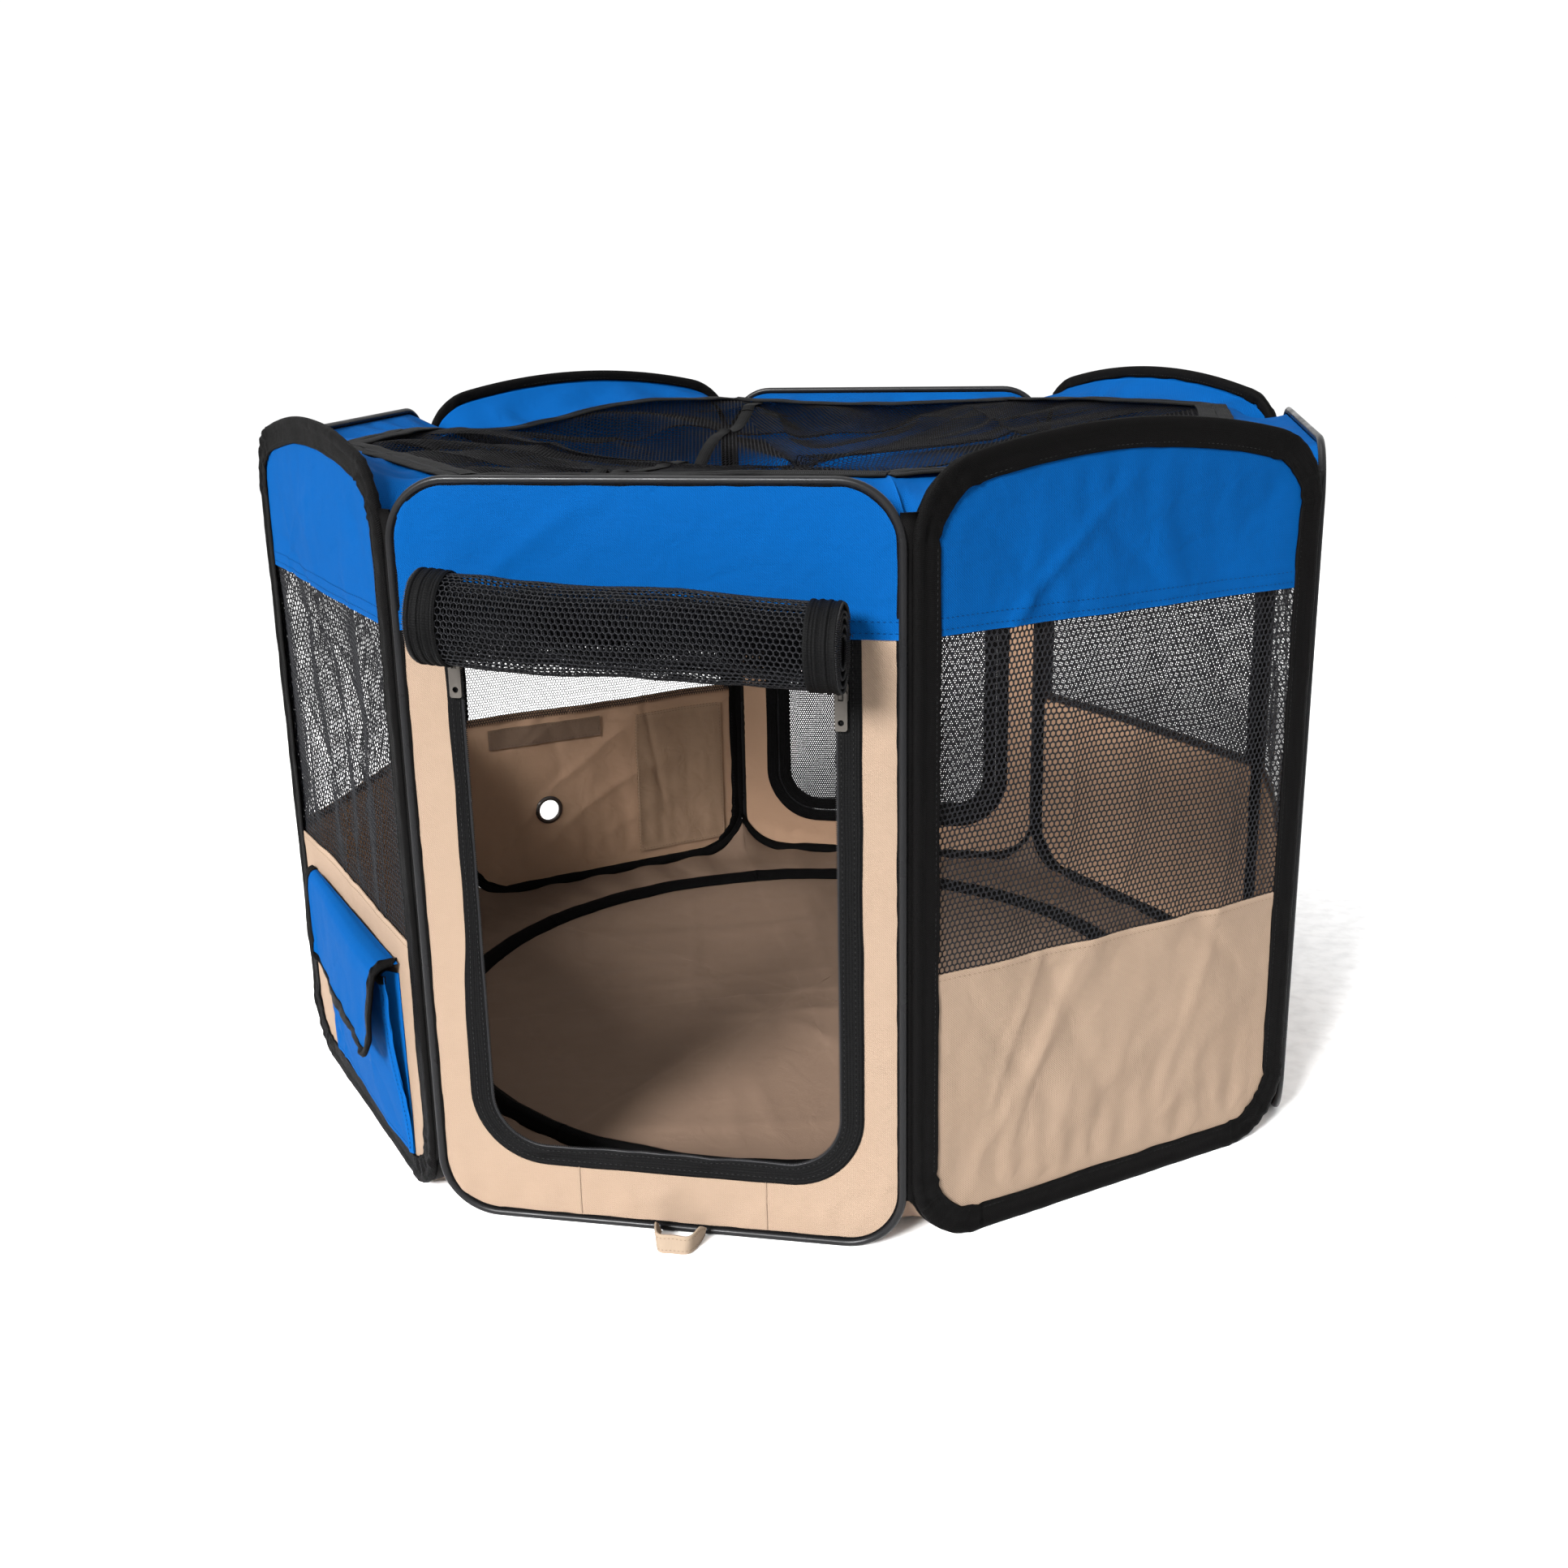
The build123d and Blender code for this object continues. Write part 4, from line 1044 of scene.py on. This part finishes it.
def floor_arc(i, steps):
    """Unit vectors across panel i's share of the floor, and their angles."""
    a0, a1 = (math.atan2(FLOOR_CORNER[k % 8][1], FLOOR_CORNER[k % 8][0]) for k in (i, i + 1))
    a = np.linspace(a0, a1 + 2 * math.pi * (a1 < a0), steps)
    return np.stack([np.cos(a), np.sin(a), 0 * a], 1), a


def gore(name, i, outside, grid):
    """Panel i's share of the floor cloth, inside or outside the ring sewn on it."""
    arc = FLOOR_RING * floor_arc(i, 40)[0][:, :2]
    loop = (np.vstack([arc[::-1], FLOOR_CORNER[i][:2], FLOOR_CORNER[(i + 1) % 8][:2]]) if outside else
            np.vstack([(0, 0), arc]))
    flat, tris = fill([loop], grid)
    top = np.column_stack([flat, floor_height(*flat.T)])
    if np.cross(flat[tris[0, 1]] - flat[tris[0, 0]], flat[tris[0, 2]] - flat[tris[0, 0]]) < 0:
        tris = tris[:, ::-1]
    return piece(slab(name, top, top - UP * THICK, tris, flat), FLOOR_CLOTH_SHADED, f"{NAMES[i]}_panel",
                 ["floor_sheet"])


for i, name in enumerate(NAMES):
    middle = gore(f"floor_{name}", i, False, .007)
    skirt = gore(f"floor_skirt_{name}", i, True, .006)
    away, a = floor_arc(i, 70)
    centre = away * (FLOOR_RING + .0012 * noise(a * 9, 1., 87))[:, None] + UP * (FLOOR_TOP + .0038)
    tube = sweep(f"floor_ring_{name}", centre, away, UP,
                 [(-.0120, -.0030), (-.0072, -.0010), (-.0052, .0038), (0, .0066), (.0052, .0038), (.0072, -.0010),
                  (.0120, -.0030), (0, -.0036)],
                 width=lambda k, s: .0007 * noise(k / 4., s * 40, 89),
                 lift=lambda k, s: .0006 * noise(k / 5., s * 60, 88))
    piece(tube, BINDING_CLOTH, f"{name}_panel", ["floor_ring"])
    line = lerp(FLOOR_CORNER[i], FLOOR_CORNER[(i + 1) % 8], np.linspace(.004, .996, 110)[:, None])
    rise = corner_rise(line[:, 0], line[:, 1])[:, None]
    seam = sweep(f"floor_seam_{name}", line + UP * (.0062 + rise), -OUT[i], UP,
                 [(-.0030, -.0036), (-.0030, .0050), (0, .0040), (.0035, 0), (.0050, -.0036)],
                 lift=lambda k, s: .0008 * noise(k / 5., s * 60, 91 + i))
    piece(seam, BINDING_CLOTH, f"{name}_panel")
    for obj in (middle, skirt, tube, seam):
        fold_flat(obj)

# ---- roof
RIM = inset_ring(BORDER_INSET + BORDER_WIDTH)
LEFT_BACK_WAY = math.atan2(MIDDLE[LEFT_BACK][1], MIDDLE[LEFT_BACK][0])


def ring_height(x, y):
    a = np.arctan2(y, x)
    off = (a - LEFT_BACK_WAY - .33 + math.pi) % (2 * math.pi) - math.pi
    return (ROOF_Z + .0005 + .0035 * np.sin(3 * a + .6) + .0050 * noise(a * 4 / math.pi + 8, 1., 92)
            - .024 * np.exp(-(off / .30) ** 2) - .009 * np.exp(-((a + 1.8) / .5) ** 2))


def rim_share(x, y):
    """Distance from the middle over the distance of the roof's edge in that direction."""
    most = np.max([(x * OUT[i][0] + y * OUT[i][1]) / (RIM[i] @ OUT[i]) for i in range(8)], axis=0)
    return np.clip(most, 1e-6, None)


def roof_height(x, y):
    share = rim_share(x, y)
    sag = -.034 * (1 - np.clip(share, 0, 1) ** 2)
    a = np.arctan2(y, x)
    gathers = (.0040 * smooth((share - .35) / .5) * smooth((1.0 - share) / .12)
               * np.sin(a * 17 + 2.5 * noise(a * 3, share * 3, 93)) * (1 + .9 * np.cos(a - 2.9)))
    creases = .0050 * folds(x, y, 1.75, .07, .4, 94) + .0035 * folds(x, y, .3, .06, .4, 96)
    return ring_height(x, y) + sag + gathers + creases * smooth((1 - share) / .3)


def border_point(i, u, v):
    """Blue border of panel i: u along the wall, v from the wall in to the zip ring."""
    outer = lerp(CORNER[i] * .999, CORNER[(i + 1) % 8] * .999, u[..., None])
    inner = lerp(RIM[i], RIM[(i + 1) % 8], u[..., None])
    x = (u - .5) * SPAN
    p, _ = EDGE[i]
    upper = p[p[:, 1] > .3]
    order = np.argsort(upper[:, 0])
    top = np.interp(np.clip(x, -HALF, HALF), upper[order, 0], upper[order, 1])
    top = np.maximum(top, .550) - (.0130 if is_bound(i) else .0070)
    wall_out = -(.0032 if is_bound(i) else .0016)
    at = lerp(outer, inner, v[..., None]) + OUT[i] * (wall_out * (1 - v))[..., None]
    ring = ring_height(inner[..., 0], inner[..., 1])
    corner = np.minimum(u, 1 - u) * SPAN
    sag = .0060 * smooth(corner / .05) * (1 + .7 * noise(u * 3, v, 101 + i))
    pinch = .0035 * np.exp(-corner / .030) * np.cos(corner / .006)
    ripple = .0022 * np.sin(x / .012 + 3 * noise(u * 4, v * 2, 102 + i)) * smooth(corner / .02)
    at[..., 2] = lerp(top, ring, smooth(v * 1.15) * .55 + v * .45) + np.sin(math.pi * v) * (pinch + ripple - sag)
    return at


def edge_lines(curve, i):
    """Inward and upward unit vectors along a rim curve of panel i."""
    up = unit(np.cross(-OUT[i], np.gradient(curve, axis=0)))
    return np.broadcast_to(-OUT[i], up.shape), up * np.sign(up[:, 2:3])


def rim_tape(name, curve, i, profile, teeth_at, body):
    """Tape of the roof zip along curve, with its coil."""
    inner, up = edge_lines(curve, i)
    tape = sweep(name, curve, inner, up, profile, width=lambda k, s: .0008 * noise(k / 6., s * 40, 120 + i),
                 lift=lambda k, s: .0010 * noise(k / 7., s * 30, 121 + i))
    piece(tape, TAPE, body)
    c, t = walk(curve + inner * teeth_at, TOOTH_PITCH)
    teeth = beads(f"{name}_teeth", c, t, -OUT[i], up[len(up) // 2], (.0006, .0013, .0012))
    return [tape, piece(teeth, COIL, body)]


FIXED_TAPE = [(-.0110, .0006), (-.006, .0012), (-.001, .0010), (.0012, .0008), (.0012, -.0006), (-.001, -.0010),
              (-.0110, -.0004)]
LOOSE_TAPE = [(-.0004, .0008), (.001, .0010), (.008, .0012), (.0145, .0006), (.0145, -.0006), (.001, -.0010),
              (-.0004, -.0008)]


for i, name in enumerate(NAMES):
    body = f"{name}_panel"
    grid = border_point(i, *grids(np.linspace(0, 1, 84), np.linspace(0, 1, 22)))
    border = surface(f"roof_border_{name}", grid)
    piece(border, BLUE, body, ["roof_border"])
    rim = grid[:, -1] + UP * .0006
    made = rim_tape(f"roof_zip_fixed_{name}", rim, i, FIXED_TAPE, .0012, body)
    for obj in (border, *made):
        fold_flat(obj)
    # net gore
    gore_body = f"roof_gore_{name}"
    edge_a, edge_b = (np.array((-c[1], c[0])) for c in (RIM[i], RIM[(i + 1) % 8]))
    reach = RIM[i] @ OUT[i]
    plan = np.stack([ALONG[i][:2], OUT[i][:2]])

    def in_gore(q, margin):
        return (q @ edge_a >= 0) & (q @ edge_b < 0) & (q @ OUT[i][:2] < reach - margin)

    def hang(p):
        q = p @ plan
        return np.column_stack([q, roof_height(*q.T)])

    roof = net(f"roof_net_{name}", (-reach * .5, 0), (reach * .5, reach), hang,
               keep=lambda p: in_gore(p @ plan, .003), strand=ROOF_STRAND,
               pitch=NET_PITCH * (ROOF_PITCH_LEFT if i in (LEFT, LEFT_FRONT) else ROOF_PITCH))
    piece(roof, ROOF_NET, gore_body, [f"roof_gore_{name}"])
    made = rim_tape(f"roof_zip_loose_{name}", rim - OUT[i] * .0032, i, LOOSE_TAPE, -.0004, gore_body)
    # seam tape from front to back of the roof
    y = np.linspace(-.40, .40, 400)
    q = np.stack([np.full_like(y, -.112) + .004 * np.sin(y * 9), y], 1)
    q = q[in_gore(q, .004)]
    if len(q) > 6:
        line = np.column_stack([q, roof_height(*q.T) + .0006])
        strap = sweep(f"roof_seam_tape_{name}", line, (1, 0, 0), UP,
                      [(-.0065, .0005), (0, .0013), (.0065, .0005), (.0065, -.0005), (-.0065, -.0005)])
        made.append(piece(strap, TAPE, gore_body))
    for obj in (roof, *made):
        fold_flat(obj)

# ---- hinges: webs sewn between neighbouring walls
WEB_LOW, WEB_HIGH = .042, .556
for i, name in enumerate(NAMES):
    nxt = (i + 1) % 8
    z = np.linspace(WEB_LOW, WEB_HIGH, 90)
    post = CORNER[nxt]
    inner = -unit(OUT[i] + OUT[nxt])
    if i == BACK:  # the joint where the closed ring is opened: its web holds to one wall only
        profile = [(-.0065, -.0004), (-.0065, .0010), (0, .0022), (.0062, .0022), (.0062, .0010), (0, .0006)]
    else:
        profile = [(-.0065, -.0004), (-.0065, .0012), (0, .0018), (.0065, .0012), (.0065, -.0004)]
    web = sweep(f"hinge_web_{name}", post + inner * .0022 + z[:, None] * UP, np.cross(inner, UP), inner, profile,
                lift=lambda k, s: .0005 * noise(k / 4., s * 80, 130 + i))
    piece(web, BINDING_CLOTH, f"{name}_panel" if i == BACK else None)
    if i != BACK:
        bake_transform(web)

# ---- finishes of the CAD pieces that stay
for node_name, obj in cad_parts.items():
    if not obj.hide_render:
        for slot in obj.material_slots:
            slot.material = PIPE if node_name.endswith("_hoop") else STEEL if node_name.endswith("_wire") else METAL
